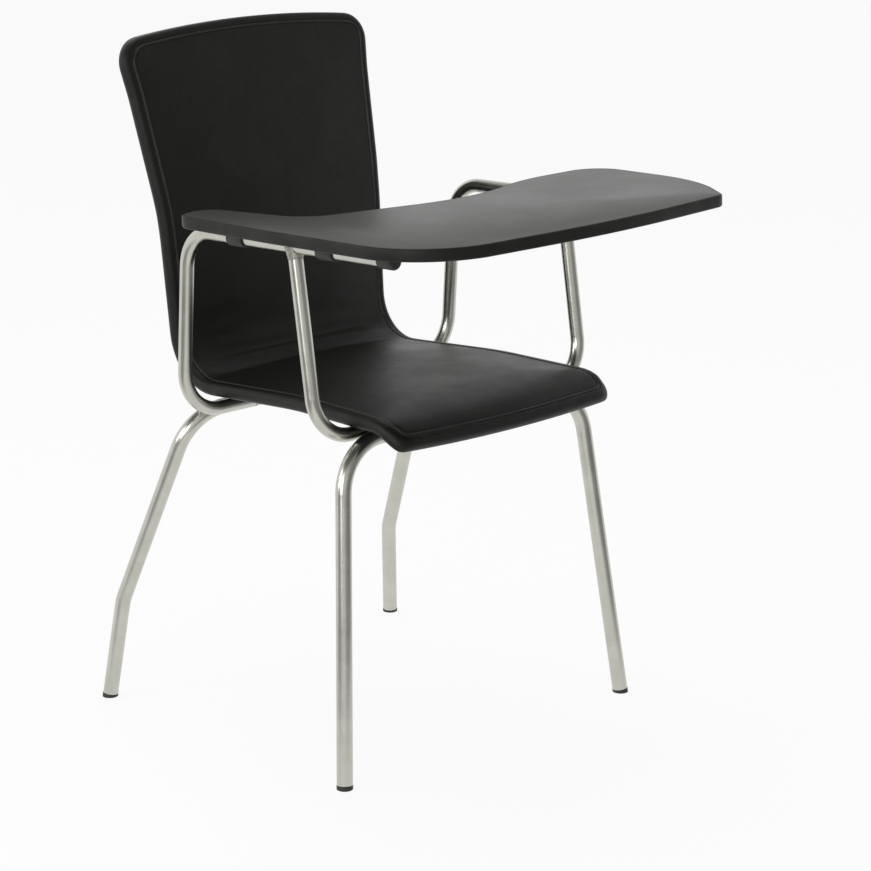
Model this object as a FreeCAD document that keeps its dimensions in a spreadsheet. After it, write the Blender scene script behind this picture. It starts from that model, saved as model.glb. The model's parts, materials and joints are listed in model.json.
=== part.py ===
import FreeCAD, Part
import math
import os
import Sketcher
from FreeCAD import Placement, Rotation, Vector

# Tablet arm chair: a bent tube frame, an upholstered one piece shell, two tube arms and a writing tablet
# that swings up about the sitter's right arm rail.
# X points to the sitter's left, Y to the rear and Z up. Lengths are in millimetres, angles in degrees.
# Pieces are drawn in the chair's own frame, whose Y is zero at the front feet, and are then moved so that
# the origin lies on the floor under the middle of the whole chair.

doc = FreeCAD.newDocument("tablet_arm_chair")

SIZES = {
    # Steel tube
    "leg_tube": 20.0,
    "arm_tube": 18.0,
    "tube_wall": 1.5,
    # Widths, all measured from the middle plane
    "seat_half_width": 187.0,
    "arm_side_gap": 44.0,
    "cross_inset": 25.7,
    "front_splay": 42.7,
    "rear_splay": 49.1,
    "knee_splay": 33.8,
    # Front leg frame
    "frame_height": 419.5,
    "front_foot_back": 0.5,
    "front_cross_back": 45.5,
    "front_bend": 66.0,
    # Shell, seen from the side: its front face along the side edges
    "seat_depth": 419.0,
    "nose_back": -36.0,
    "nose_length": 36.0,
    "nose_rise": 20.5,
    "nose_bend": 60.0,
    "seat_front_rise": 34.0,
    "seat_mid_back": 160.0,
    "seat_mid_rise": 33.0,
    "seat_mid_bend": 900.0,
    "seat_rear_rise": 16.5,
    "seat_back_bend": 60.0,
    "back_mid_lean": 19.0,
    "back_mid_rise": 228.5,
    "back_mid_bend": 500.0,
    "back_top_lean": 73.0,
    "back_top_rise": 446.5,
    # Shell, seen from the front
    "top_crown": 14.0,
    "top_corner_bend": 34.0,
    "nose_corner_bend": 24.0,
    # Shell layers, measured square to its face
    "shell_edge": 16.0,
    "pad_depth": 5.0,
    "pad_crown": 4.5,
    "pad_edge_bend": 2.0,
    "pad_side_tuck": 0.5,
    "core_depth": 9.0,
    "core_inset": 3.0,
    "bend_step": 16.0,
    "straight_step": 45.0,
    "soft_gap": 0.3,
    # Rear leg frame, set from the rear cross tube
    "rear_cross_drop": 15.5,
    "rear_cross_inset": 47.4,
    "rear_bend": 59.0,
    "knee_back": 109.1,
    "knee_height": 134.4,
    "knee_bend": 60.0,
    "rear_foot_back": 123.3,
    # Glides
    "glide_rise": 5.0,
    "glide_overhang": 0.3,
    "glide_stem": 15.0,
    "stem_gap": 0.1,
    # Arms
    "arm_run_rise": 5.0,
    "arm_run_end": 118.0,
    "rail_rise": 237.94,
    "rail_middle_back": 150.0,
    "rail_slope_angle": 2.49,
    "rear_post_lean": -15.6,
    "front_post_lean": 37.6,
    "rear_low_bend": 59.0,
    "rear_high_bend": 51.0,
    "front_low_bend": 53.0,
    "front_high_bend": 51.0,
    "rail_front_back": -65.0,
    "cope_gap": 0.08,
    "plug_flange": 2.0,
    "plug_stem": 12.0,
    # Seat bars and their fixings
    "bar_side": 80.0,
    "bar_width": 30.0,
    "bar_thickness": 4.0,
    "bar_overhang": 14.0,
    "bar_corner_bend": 6.0,
    "fixing_front": 45.0,
    "fixing_rear": 45.0,
    "screw_shank": 6.0,
    "screw_head": 12.0,
    "screw_head_depth": 3.5,
    "screw_reach": 15.0,
    "thread_gap": 0.05,
    "bar_hole_gap": 0.4,
    "nut_barrel": 7.8,
    "nut_flange": 19.0,
    "nut_flange_depth": 1.2,
    "nut_gap": 0.1,
    "spacer_width": 24.0,
    # Tablet, in the rail's frame
    "tablet_width": 602.0,
    "tablet_depth": 474.0,
    "tablet_outboard": 75.0,
    "tablet_front_back": -216.0,
    "tablet_thickness": 15.5,
    "tablet_lift": 7.2,
    "laminate": 1.0,
    "edge_band": 3.0,
    "edge_top_bend": 2.0,
    "edge_low_bend": 4.0,
    # Clips that turn on the rail, and their pads and screws
    "clip_wall": 2.0,
    "clip_tab_reach": 28.0,
    "running_gap": 0.3,
    "clip_pad_inboard": 1.0,
    "clip_pad_drop": 10.0,
    "rear_clip_back": 201.5,
    "rear_clip_length": 28.0,
    "front_clip_back": 38.5,
    "front_clip_length": 28.0,
    "clip_screw": 4.0,
    "clip_screw_side": 20.5,
    "clip_screw_margin": 7.0,
    "clip_screw_head": 7.6,
    "clip_screw_head_depth": 2.2,
    "clip_screw_bite": 9.0,
    # Rest block and support plate
    "rest_length": 24.0,
    "rest_socket": 12.0,
    "rest_wall": 1.4,
    "rest_ledge": 9.0,
    "rest_end_bend": 4.0,
    "rest_gap": 0.3,
    "plate_back": -12.0,
    "plate_length": 34.0,
    "plate_reach": 40.0,
    "plate_thickness": 4.0,
    "plate_rise": 4.0,
    "pad_width": 16.0,
    "pad_side": 28.0,
    # Welds
    "weld_reach": 5.2,
    "weld_root": 2.0,
    "weld_length": 24.0,
    "bar_weld_reach": 6.0,
    "bar_weld_root": 3.0,
    "collar_reach": 3.2,
    "collar_depth": 8.0,
    # How far a cutting tool runs past what it cuts
    "overrun": 20.0,
}

# Half width of the seat along its depth, as shares of the seat's depth and of seat_half_width
SEAT_WIDTH_SHARES = [(0.0, 0.984), (0.062, 1.0), (0.229, 0.989), (0.468, 0.973), (0.802, 0.960)]
# Half width of the back up its height, as shares of back_top_rise and of seat_half_width
BACK_WIDTH_SHARES = [
    (0.0, 0.960),
    (0.225, 0.976),
    (0.404, 0.989),
    (0.516, 1.0),
    (0.628, 1.021),
    (0.763, 1.046),
    (0.852, 1.062),
    (1.0, 1.112),
]
# Where the seat outline hands over to the back outline, as a share of the seat's depth
OUTLINE_JOIN_SHARE = 0.874
# Crown of the pad along the shell: shares of its path and of pad_crown
CROWN_SHARES = [
    (0.0, 0.0),
    (0.06, 0.7),
    (0.16, 1.0),
    (0.40, 0.75),
    (0.50, 0.6),
    (0.62, 1.0),
    (0.93, 0.9),
    (1.0, 0.0),
]
# The tablet's outline: shares of its width, of its depth and of its width for the rounding of that corner
TABLET_SHARES = [
    (0.020, 0.979, 0.052),
    (0.116, 1.0, 0.048),
    (0.156, 0.667, 0.091),
    (0.5415, 0.557, 0.460),
    (0.7575, 0.667, 0.460),
    (1.0, 0.675, 0.075),
    (0.9767, 0.2658, 0.432),
    (0.8605, 0.0549, 0.0365),
    (0.5083, 0.0, 2.326),
    (0.0, 0.0253, 0.1744),
    (0.005, 0.5823, 1.495),
]
# Where the chair's middle lies across the tablet, and how far its front edge bulges, as shares of the tablet
MIDDLE_SHARE = 0.499
BULGE_SHARE = 0.01
# Largest angle between the pad's sections on a bend
BEND_STEP_ANGLE = 7.5

sheet = doc.addObject("Spreadsheet::Sheet", "Sizes")
for row, (alias, number) in enumerate(SIZES.items(), start=1):
    sheet.set("A%d" % row, alias)
    sheet.set("B%d" % row, str(number))
    sheet.setAlias("B%d" % row, alias)
doc.recompute()


class SheetSizes:
    """Reads the sheet's cells by their names."""

    def __getattr__(self, name):
        return float(sheet.get(name))


dim = SheetSizes()
nodes = []

UP = Vector(0, 0, 1)
SIDE = Vector(1, 0, 0)
REAR = Vector(0, 1, 0)


def value(expression):
    """The number that an expression on the sheet gives now."""
    result = sheet.evalExpression(expression)
    return float(getattr(result, "Value", result))


def lerp(table, place):
    """Reads a table of pairs, straight between its rows."""
    for (low, start), (high, end) in zip(table, table[1:]):
        if place <= high:
            return start + (end - start) * max(0.0, (place - low) / (high - low))
    return table[-1][1]


# Places worked out from the sizes
leg_radius = dim.leg_tube / 2
arm_radius = dim.arm_tube / 2
arm_bore = arm_radius - dim.tube_wall
leg_bore = leg_radius - dim.tube_wall
arm_side = dim.seat_half_width + dim.arm_side_gap
cross_side = arm_side - dim.cross_inset
seat_rear = dim.nose_back + dim.seat_depth
rear_cross = seat_rear - dim.rear_cross_inset
rear_cross_height = dim.frame_height - dim.rear_cross_drop
tube_pitch = leg_radius + arm_radius
run_step = math.sqrt(tube_pitch**2 - dim.arm_run_rise**2)
front_run = dim.front_cross_back + run_step
rear_run = rear_cross - run_step
rail_height = dim.frame_height + dim.rail_rise
rail_slope = math.tan(math.radians(dim.rail_slope_angle))
rear_foot = rear_cross + dim.rear_foot_back
tablet_base = arm_radius + dim.tablet_lift
tablet_outer = -arm_side - dim.tablet_outboard
back_top = seat_rear + dim.back_top_lean
origin_side = tablet_outer + dim.tablet_width * MIDDLE_SHARE
top_lean = dim.top_crown * (dim.back_top_lean - dim.back_mid_lean) / (dim.back_top_rise - dim.back_mid_rise)
tablet_front = dim.tablet_front_back + dim.tablet_depth * BULGE_SHARE
origin_back = (tablet_front + back_top + top_lean + dim.shell_edge) / 2

HOME = Placement(Vector(-origin_side, -origin_back, 0), Rotation())
RAIL = HOME.multiply(
    Placement(Vector(-arm_side, dim.rail_middle_back, rail_height), Rotation(SIDE, -dim.rail_slope_angle))
)


def rail_at(back):
    """Height of the arm rails' axis at a distance to the rear."""
    return rail_height - rail_slope * (back - dim.rail_middle_back)


def add_feature(label, shape, frame=HOME):
    """Adds a piece whose shape is made here, drawn in the given frame."""
    item = doc.addObject("Part::Feature", label)
    item.Label = label
    item.Shape = shape
    item.Placement = frame.multiply(shape.Placement)
    nodes.append(item)
    return item


def bind(item, expressions):
    """Ties properties of an item to expressions on the sheet."""
    for name, expression in expressions.items():
        item.setExpression(name, expression)


def corner_arc(before, corner, after, radius):
    """Start, middle and end of the arc that rounds a corner."""
    back = (before - corner).normalize()
    ahead = (after - corner).normalize()
    half = back.getAngle(ahead) / 2
    centre = corner + (back + ahead).normalize() * (radius / math.sin(half))
    reach = radius / math.tan(half)
    middle = centre + (corner - centre).normalize() * radius
    return corner + back * reach, middle, corner + ahead * reach


def rounded_path(points, radii):
    """Edges of straight runs joined by tangent arcs, one radius for each inner point."""
    edges = []
    start = points[0]
    for before, corner, after, radius in zip(points, points[1:], points[2:], radii):
        enter, middle, leave = corner_arc(before, corner, after, radius)
        edges.append(Part.LineSegment(start, enter).toShape())
        edges.append(Part.Arc(enter, middle, leave).toShape())
        start = leave
    edges.append(Part.LineSegment(start, points[-1]).toShape())
    return edges


def rounded_loop(points, radii):
    """Closed outline with a radius for each point."""
    arcs = []
    for index, radius in enumerate(radii):
        after = points[(index + 1) % len(points)]
        arcs.append(corner_arc(points[index - 1], points[index], after, radius))
    edges = []
    for arc, following in zip(arcs, arcs[1:] + arcs[:1]):
        edges.append(Part.Arc(*arc).toShape())
        edges.append(Part.LineSegment(arc[2], following[0]).toShape())
    return Part.Wire(edges)


def prism(outline, height):
    """Solid made from a flat outline."""
    return Part.Face(outline).extrude(height)


def bent_tube(points, radii, outer, bore):
    """Tube along straight runs and arcs."""
    pieces = []
    for edge in rounded_path(points, radii):
        start = edge.valueAt(edge.FirstParameter)
        heading = edge.tangentAt(edge.FirstParameter)
        rings = [Part.Wire(Part.makeCircle(radius, start, heading)) for radius in (outer, bore)]
        section = Part.makeFace(rings, "Part::FaceMakerBullseye")
        if isinstance(edge.Curve, Part.Circle):
            sweep = math.degrees(edge.Length / edge.Curve.Radius)
            pieces.append(section.revolve(edge.Curve.Center, edge.Curve.Axis, sweep))
        else:
            pieces.append(section.extrude(heading * edge.Length))
    return pieces[0].multiFuse(pieces[1:]).Solids[0]


def new_body(label):
    """Adds an empty body under its own label."""
    body = doc.addObject("PartDesign::Body", label)
    body.Label = label
    return body


def origin_plane(body, role):
    """One of the body's own origin planes."""
    return [item for item in body.Origin.OriginFeatures if item.Role == role][0]


def new_sketch(body, role, name):
    """Adds a sketch on one of the body's own origin planes."""
    sketch = body.newObject("Sketcher::SketchObject", name)
    sketch.AttachmentSupport = [(origin_plane(body, role), "")]
    sketch.MapMode = "FlatFace"
    return sketch


def tie(sketch, kind, *place, size):
    """Adds a sketch dimension that follows an expression on the sheet."""
    index = sketch.addConstraint(Sketcher.Constraint(kind, *place, value(size)))
    sketch.setExpression("Constraints[%d]" % index, size)


def sketch_ring(sketch, radius, across="0", along="0"):
    """Draws a circle whose radius and centre follow the sheet."""
    centre = Vector(value(across), value(along), 0)
    circle = sketch.addGeometry(Part.Circle(centre, UP, value(radius)), False)
    tie(sketch, "Radius", circle, size=radius)
    if across == "0":
        sketch.addConstraint(Sketcher.Constraint("PointOnObject", circle, 3, -2))
    else:
        tie(sketch, "DistanceX", -1, 1, circle, 3, size=across)
    if along == "0":
        sketch.addConstraint(Sketcher.Constraint("PointOnObject", circle, 3, -1))
    else:
        tie(sketch, "DistanceY", -1, 1, circle, 3, size=along)


def sketch_outline(sketch, corners):
    """Draws a closed outline of straight lines through corners given as pairs of expressions."""
    places = [Vector(value(across), value(along), 0) for across, along in corners]
    lines = []
    for start, end in zip(places, places[1:] + places[:1]):
        lines.append(sketch.addGeometry(Part.LineSegment(start, end), False))
    for line, following in zip(lines, lines[1:] + lines[:1]):
        sketch.addConstraint(Sketcher.Constraint("Coincident", line, 2, following, 1))
    for line, (across, along) in zip(lines, corners):
        if across == "0":
            sketch.addConstraint(Sketcher.Constraint("PointOnObject", line, 1, -2))
        else:
            tie(sketch, "DistanceX", -1, 1, line, 1, size=across)
        if along == "0":
            sketch.addConstraint(Sketcher.Constraint("PointOnObject", line, 1, -1))
        else:
            tie(sketch, "DistanceY", -1, 1, line, 1, size=along)


# Front leg frame: half of a leaning U is piped from the middle of its cross tube, then mirrored
FRONT_LENGTH = "sqrt(pow(Sizes.frame_height; 2) + pow(Sizes.front_cross_back - Sizes.front_foot_back; 2))"
FRONT_CROSS = "(Sizes.seat_half_width + Sizes.arm_side_gap - Sizes.cross_inset)"
FRONT_TILT = "atan(Sizes.front_splay / %s)" % FRONT_LENGTH


def make_front_legs():
    body = new_body("leg_frame_front")
    path = new_sketch(body, "XZ_Plane", "front_leg_path")
    turn = "(90 deg - %s)" % FRONT_TILT
    straight = "%s - Sizes.front_bend * tan(%s / 2)" % (FRONT_CROSS, turn)
    foot_across = "%s + Sizes.front_splay - Sizes.glide_rise * sin(%s)" % (FRONT_CROSS, FRONT_TILT)
    foot_up = "Sizes.glide_rise * cos(%s)" % FRONT_TILT
    height = value(FRONT_LENGTH)
    apex = Vector(value(FRONT_CROSS), height, 0)
    foot = Vector(value(foot_across), value(foot_up), 0)
    top = Vector(0, height, 0)
    enter, middle, leave = corner_arc(top, apex, foot, dim.front_bend)
    cross = path.addGeometry(Part.LineSegment(top, enter), False)
    arc = path.addGeometry(Part.Arc(enter, middle, leave), False)
    leg = path.addGeometry(Part.LineSegment(leave, foot), False)
    arc_start = 1 if path.getPoint(arc, 1).distanceToPoint(enter) < leg_radius else 2
    arc_end = 3 - arc_start
    path.addConstraint(Sketcher.Constraint("Tangent", cross, 2, arc, arc_start))
    path.addConstraint(Sketcher.Constraint("Tangent", arc, arc_end, leg, 1))
    path.addConstraint(Sketcher.Constraint("PointOnObject", cross, 1, -2))
    path.addConstraint(Sketcher.Constraint("Horizontal", cross))
    tie(path, "DistanceY", -1, 1, cross, 1, size=FRONT_LENGTH)
    tie(path, "DistanceX", cross, 1, cross, 2, size=straight)
    tie(path, "Radius", arc, size="Sizes.front_bend")
    tie(path, "DistanceX", -1, 1, leg, 2, size=foot_across)
    tie(path, "DistanceY", -1, 1, leg, 2, size=foot_up)
    section = new_sketch(body, "YZ_Plane", "front_leg_section")
    sketch_ring(section, "Sizes.leg_tube / 2", along=FRONT_LENGTH)
    sketch_ring(section, "Sizes.leg_tube / 2 - Sizes.tube_wall", along=FRONT_LENGTH)
    doc.recompute()
    pipe = body.newObject("PartDesign::AdditivePipe", "front_leg_half")
    pipe.Profile = section
    pipe.Spine = (path, ["Edge1", "Edge2", "Edge3"])
    doc.recompute()
    mirrored = body.newObject("PartDesign::Mirrored", "front_leg_both")
    mirrored.Originals = [pipe]
    mirrored.MirrorPlane = (origin_plane(body, "YZ_Plane"), [""])
    body.Tip = mirrored
    lean = math.degrees(math.atan((dim.front_cross_back - dim.front_foot_back) / dim.frame_height))
    body.Placement = HOME.multiply(Placement(Vector(0, dim.front_foot_back, 0), Rotation(SIDE, -lean)))
    nodes.append(body)


make_front_legs()


# Rear leg frame: a U with a knee in each leg
def rear_leg_points():
    knee_side = cross_side + dim.knee_splay
    foot_side = cross_side + dim.rear_splay
    knee = rear_cross + dim.knee_back
    right_foot = Vector(-foot_side, rear_foot, 0)
    right_knee = Vector(-knee_side, knee, dim.knee_height)
    right_apex = Vector(-cross_side, rear_cross, rear_cross_height)
    left_apex = Vector(cross_side, rear_cross, rear_cross_height)
    left_knee = Vector(knee_side, knee, dim.knee_height)
    left_foot = Vector(foot_side, rear_foot, 0)
    return [right_foot, right_knee, right_apex, left_apex, left_knee, left_foot]


def shortened(points, length):
    """The same run with both of its ends drawn in by a length."""
    first = points[0] + (points[1] - points[0]).normalize() * length
    last = points[-1] + (points[-2] - points[-1]).normalize() * length
    return [first] + points[1:-1] + [last]


rear_points = rear_leg_points()
rear_radii = [dim.knee_bend, dim.rear_bend, dim.rear_bend, dim.knee_bend]
rear_run_points = shortened(rear_points, dim.glide_rise)
add_feature("leg_frame_rear", bent_tube(rear_run_points, rear_radii, leg_radius, leg_bore))


# Glides: a foot cut level with the floor, on a stem inside the tube
def make_glide(label, foot, above):
    heading = (above - foot).normalize()
    start = foot - heading * dim.overrun
    sole = Part.makeCylinder(leg_radius + dim.glide_overhang, dim.overrun + dim.glide_rise, start, heading)
    stem_radius = leg_bore - dim.stem_gap
    stem = Part.makeCylinder(stem_radius, dim.glide_stem, foot + heading * dim.glide_rise, heading)
    reach = 2 * dim.overrun
    ground = Part.makeBox(2 * reach, 2 * reach, reach, foot - Vector(reach, reach, reach))
    add_feature(label, sole.fuse(stem).cut(ground).Solids[0])


front_foot_side = cross_side + dim.front_splay
for side_name, sign in (("right", -1), ("left", 1)):
    front_foot = Vector(sign * front_foot_side, dim.front_foot_back, 0)
    front_apex = Vector(sign * cross_side, dim.front_cross_back, dim.frame_height)
    make_glide("glide_front_" + side_name, front_foot, front_apex)
make_glide("glide_rear_right", rear_points[0], rear_points[1])
make_glide("glide_rear_left", rear_points[-1], rear_points[-2])


# Arms: both stand on short runs that lie beside the cross tubes
def arm_rear_points(sign):
    """Rear run, rear post and the rail's rear corner."""
    height = rear_cross_height + dim.arm_run_rise
    corner = rear_run + dim.rear_post_lean
    return [
        Vector(sign * dim.arm_run_end, rear_run, height),
        Vector(sign * arm_side, rear_run, height),
        Vector(sign * arm_side, corner, rail_at(corner)),
    ]


def arm_front_points(sign):
    """The rail's front corner, front post and front run."""
    height = dim.frame_height + dim.arm_run_rise
    corner = front_run + dim.front_post_lean
    return [
        Vector(sign * arm_side, corner, rail_at(corner)),
        Vector(sign * arm_side, front_run, height),
        Vector(sign * dim.arm_run_end, front_run, height),
    ]


loop_points = arm_rear_points(1) + arm_front_points(1)
loop_radii = [dim.rear_low_bend, dim.rear_high_bend, dim.front_high_bend, dim.front_low_bend]
add_feature("arm_loop_left", bent_tube(loop_points, loop_radii, arm_radius, arm_bore))

rail_end = Vector(-arm_side, dim.rail_front_back, rail_at(dim.rail_front_back))
rail_points = arm_rear_points(-1) + [rail_end]
rail_radii = [dim.rear_low_bend, dim.rear_high_bend]
add_feature("arm_rail_right", bent_tube(rail_points, rail_radii, arm_radius, arm_bore))

post_points = arm_front_points(-1)
rail_run = rail_points[2] - rail_end
rail_rod = Part.makeCylinder(arm_radius + dim.cope_gap, rail_run.Length, rail_end, rail_run)
post_tube = bent_tube(post_points, [dim.front_low_bend], arm_radius, arm_bore)
post_pieces = sorted(post_tube.cut(rail_rod).Solids, key=lambda solid: solid.Volume)
add_feature("arm_post_right", post_pieces[-1])


# Plugs that close the arm tubes' ends under the seat
def make_end_plugs():
    plugs = []
    for sign in (-1, 1):
        for points in (arm_rear_points(sign), arm_front_points(sign)[::-1]):
            inward = Vector(-sign, 0, 0)
            flange = Part.makeCylinder(arm_radius, dim.plug_flange, points[0], inward)
            stem = Part.makeCylinder(arm_bore - dim.stem_gap, dim.plug_stem, points[0], -inward)
            plugs.append(flange.fuse(stem).Solids[0])
    add_feature("arm_end_plugs", Part.makeCompound(plugs))


make_end_plugs()


# Seat bars: flat bars on top of both cross tubes, tilted by the drop from one tube to the other
bar_tilt = math.degrees(math.atan(dim.rear_cross_drop / (rear_cross - dim.front_cross_back)))
bar_span = math.hypot(dim.rear_cross_drop, rear_cross - dim.front_cross_back)
BAR_SPAN = (
    "sqrt(pow(Sizes.rear_cross_drop; 2) + "
    "pow(Sizes.nose_back + Sizes.seat_depth - Sizes.rear_cross_inset - Sizes.front_cross_back; 2))"
)


def bar_frame(side):
    """Frame on the front cross tube's top line, Y along the bar."""
    tube = Placement(Vector(side, dim.front_cross_back, dim.frame_height), Rotation(SIDE, -bar_tilt))
    return tube.multiply(Placement(Vector(0, 0, leg_radius), Rotation()))


def make_seat_bar(label, side):
    body = new_body(label)
    outline = new_sketch(body, "XY_Plane", label + "_outline")
    half = "Sizes.bar_width / 2"
    start = "-Sizes.bar_overhang"
    end = "%s + Sizes.bar_overhang" % BAR_SPAN
    sketch_outline(outline, [("-" + half, start), (half, start), (half, end), ("-" + half, end)])
    plate = body.newObject("PartDesign::Pad", label + "_plate")
    plate.Profile = outline
    bind(plate, {"Length": "Sizes.bar_thickness"})
    doc.recompute()
    holes = new_sketch(body, "XY_Plane", label + "_holes")
    hole = "Sizes.screw_shank / 2 + Sizes.bar_hole_gap"
    sketch_ring(holes, hole, along="Sizes.fixing_front")
    sketch_ring(holes, hole, along="%s - Sizes.fixing_rear" % BAR_SPAN)
    pocket = body.newObject("PartDesign::Pocket", label + "_drilled")
    pocket.Profile = holes
    pocket.Type = "ThroughAll"
    pocket.Midplane = True
    doc.recompute()
    upright = []
    for index, edge in enumerate(pocket.Shape.Edges, start=1):
        rises = edge.BoundBox.ZLength > dim.bar_thickness / 2
        outermost = edge.BoundBox.XLength < dim.bar_hole_gap
        if rises and outermost and abs(abs(edge.Vertexes[0].X) - dim.bar_width / 2) < dim.bar_hole_gap:
            upright.append("Edge%d" % index)
    corners = body.newObject("PartDesign::Fillet", label + "_corners")
    corners.Base = (pocket, upright)
    bind(corners, {"Radius": "Sizes.bar_corner_bend"})
    body.Tip = corners
    body.Placement = HOME.multiply(bar_frame(side))
    nodes.append(body)


make_seat_bar("seat_bar_right", -dim.bar_side)
make_seat_bar("seat_bar_left", dim.bar_side)


# Shell profile in the side view, as points with Y to the rear and Z up
def shell_points():
    base = dim.frame_height
    nose_top = dim.nose_back + dim.nose_length
    rise = dim.seat_front_rise
    return [
        Vector(0, dim.nose_back, base + rise - dim.nose_rise),
        Vector(0, nose_top, base + rise),
        Vector(0, dim.seat_mid_back, base + dim.seat_mid_rise),
        Vector(0, seat_rear, base + dim.seat_rear_rise),
        Vector(0, seat_rear + dim.back_mid_lean, base + dim.back_mid_rise),
        Vector(0, back_top, base + dim.back_top_rise),
    ]


SHELL = shell_points()
SHELL_RADII = [dim.nose_bend, dim.seat_mid_bend, dim.seat_back_bend, dim.back_mid_bend]


def under(start, end):
    """Direction square to a run, towards the underside and the rear."""
    along = (end - start).normalize()
    return Vector(0, along.z, -along.y)


def shell_layer_path(depth, trim, top_extra):
    """Points and radii of the profile at a depth below its face."""
    first = SHELL[0] + (SHELL[1] - SHELL[0]).normalize() * trim
    last = SHELL[-1] + (SHELL[-1] - SHELL[-2]).normalize() * top_extra
    points = [first] + SHELL[1:-1] + [last]
    normals = [under(start, end) for start, end in zip(points, points[1:])]
    moved = [points[0] + normals[0] * depth]
    radii = []
    for corner, before, after, radius in zip(points[1:-1], normals, normals[1:], SHELL_RADII):
        moved.append(corner + (before + after) * (depth / (1 + before.dot(after))))
        turn = before.cross(after).x
        radii.append(radius + depth if turn > 0 else radius - depth)
    moved.append(points[-1] + normals[-1] * depth)
    return moved, radii


def shell_band(front, rear, trim):
    """The profile between two depths, as wide as the cutting tools need."""
    top_extra = dim.top_crown + dim.overrun
    near, near_radii = shell_layer_path(front, trim, top_extra)
    far, far_radii = shell_layer_path(rear, trim, top_extra)
    edges = rounded_path(near, near_radii)
    edges.append(Part.LineSegment(near[-1], far[-1]).toShape())
    edges += rounded_path(far[::-1], far_radii[::-1])
    edges.append(Part.LineSegment(far[0], near[0]).toShape())
    width = dim.seat_half_width * BACK_WIDTH_SHARES[-1][1] + dim.overrun
    face = Part.Face(Part.Wire(Part.__sortEdges__(edges)))
    face.translate(Vector(-width, 0, 0))
    return face.extrude(Vector(2 * width, 0, 0))


def seat_half_at(back):
    return dim.seat_half_width * lerp(SEAT_WIDTH_SHARES, (back - dim.nose_back) / dim.seat_depth)


def back_half_at(height):
    return dim.seat_half_width * lerp(BACK_WIDTH_SHARES, (height - dim.frame_height) / dim.back_top_rise)


join_back = dim.nose_back + dim.seat_depth * OUTLINE_JOIN_SHARE
seat_floor = rear_cross_height
back_top_height = dim.frame_height + dim.back_top_rise


def shell_outline_tool(inset):
    """Space inside the shell's outline: a seat prism and a back prism, drawn in by an inset."""
    rows = [dim.nose_back + dim.seat_depth * share for share, _ in SEAT_WIDTH_SHARES]
    side = [Vector(seat_half_at(row) - inset, row, 0) for row in rows]
    side[0].y += inset
    side.append(Vector(side[-1].x, join_back, 0))
    other = [Vector(-point.x, point.y, 0) for point in side[::-1]]
    radius = dim.nose_corner_bend - inset
    right = corner_arc(other[-1] + SIDE, other[-1], other[-2], radius)
    left = corner_arc(side[1], side[0], side[0] - SIDE, radius)
    front_line = Part.LineSegment(left[2], right[0])
    edges = [Part.Arc(*left).toShape(), front_line.toShape(), Part.Arc(*right).toShape()]
    ring = [right[2]] + other[-2::-1] + side[:0:-1] + [left[0]]
    for start, end in zip(ring, ring[1:]):
        edges.append(Part.LineSegment(start, end).toShape())
    seat_face = Part.Face(Part.Wire(Part.__sortEdges__(edges)))
    seat_face.translate(UP * (seat_floor - dim.overrun))
    seat = seat_face.extrude(UP * (dim.seat_front_rise + 3 * dim.overrun))
    heights = [dim.frame_height + dim.back_top_rise * share for share, _ in BACK_WIDTH_SHARES]
    low = Vector(back_half_at(heights[0]) - inset, join_back, seat_floor - dim.overrun)
    rising = [low] + [Vector(back_half_at(row) - inset, join_back, row) for row in heights]
    rising[-1].z -= inset
    falling = [Vector(-point.x, point.y, point.z) for point in rising[::-1]]
    crest = Vector(0, join_back, back_top_height + dim.top_crown - inset)
    radius = dim.top_corner_bend - inset
    first = corner_arc(rising[-2], rising[-1], crest, radius)
    second = corner_arc(crest, falling[0], falling[1], radius)
    edges = [
        Part.Arc(*first).toShape(),
        Part.Arc(first[2], crest, second[0]).toShape(),
        Part.Arc(*second).toShape(),
    ]
    ring = [second[2]] + falling[1:] + rising[:-1] + [first[0]]
    for start, end in zip(ring, ring[1:]):
        edges.append(Part.LineSegment(start, end).toShape())
    back_face = Part.Face(Part.Wire(Part.__sortEdges__(edges)))
    depth = back_top - join_back + dim.shell_edge + dim.overrun
    back = back_face.extrude(REAR * depth)
    return seat.fuse(back)


# Seat screw: a pan head with a plain shank, turned about its own axis
def make_screw_form(name, shank, head, head_depth, reach):
    body = new_body(name)
    half = new_sketch(body, "XZ_Plane", name + "_section")
    under_head = "-" + head_depth
    corners = [("0", under_head), (head, under_head), (head, "0"), (shank, "0"), (shank, reach), ("0", reach)]
    sketch_outline(half, corners)
    turned = body.newObject("PartDesign::Revolution", name + "_turned")
    turned.Profile = half
    turned.ReferenceAxis = (half, ["V_Axis"])
    turned.Angle = 360
    doc.recompute()
    return body


SCREW_REACH = "(Sizes.bar_thickness + Sizes.screw_reach)"
seat_screw = make_screw_form(
    "seat_screw_form", "Sizes.screw_shank / 2", "Sizes.screw_head / 2", "Sizes.screw_head_depth", SCREW_REACH
)


def fixing_frames():
    """Frames on the bars' undersides at the four seat fixings."""
    frames = []
    for side in (-dim.bar_side, dim.bar_side):
        for along in (dim.fixing_front, bar_span - dim.fixing_rear):
            frames.append(bar_frame(side).multiply(Placement(Vector(0, along, 0), Rotation())))
    return frames


def placed_group(label, solids):
    add_feature(label, Part.makeCompound(solids))


def placed_copy(shape, frame):
    copy = shape.copy()
    copy.Placement = frame
    return copy


FIXINGS = fixing_frames()
placed_group("seat_screws", [placed_copy(seat_screw.Shape, frame) for frame in FIXINGS])


# Shell layers
core_front = dim.pad_depth + dim.soft_gap
core_rear = core_front + dim.core_depth
outline_tool = shell_outline_tool(0)
core_tool = shell_outline_tool(dim.core_inset)
cavity_tool = shell_outline_tool(dim.core_inset - dim.soft_gap)


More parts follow.
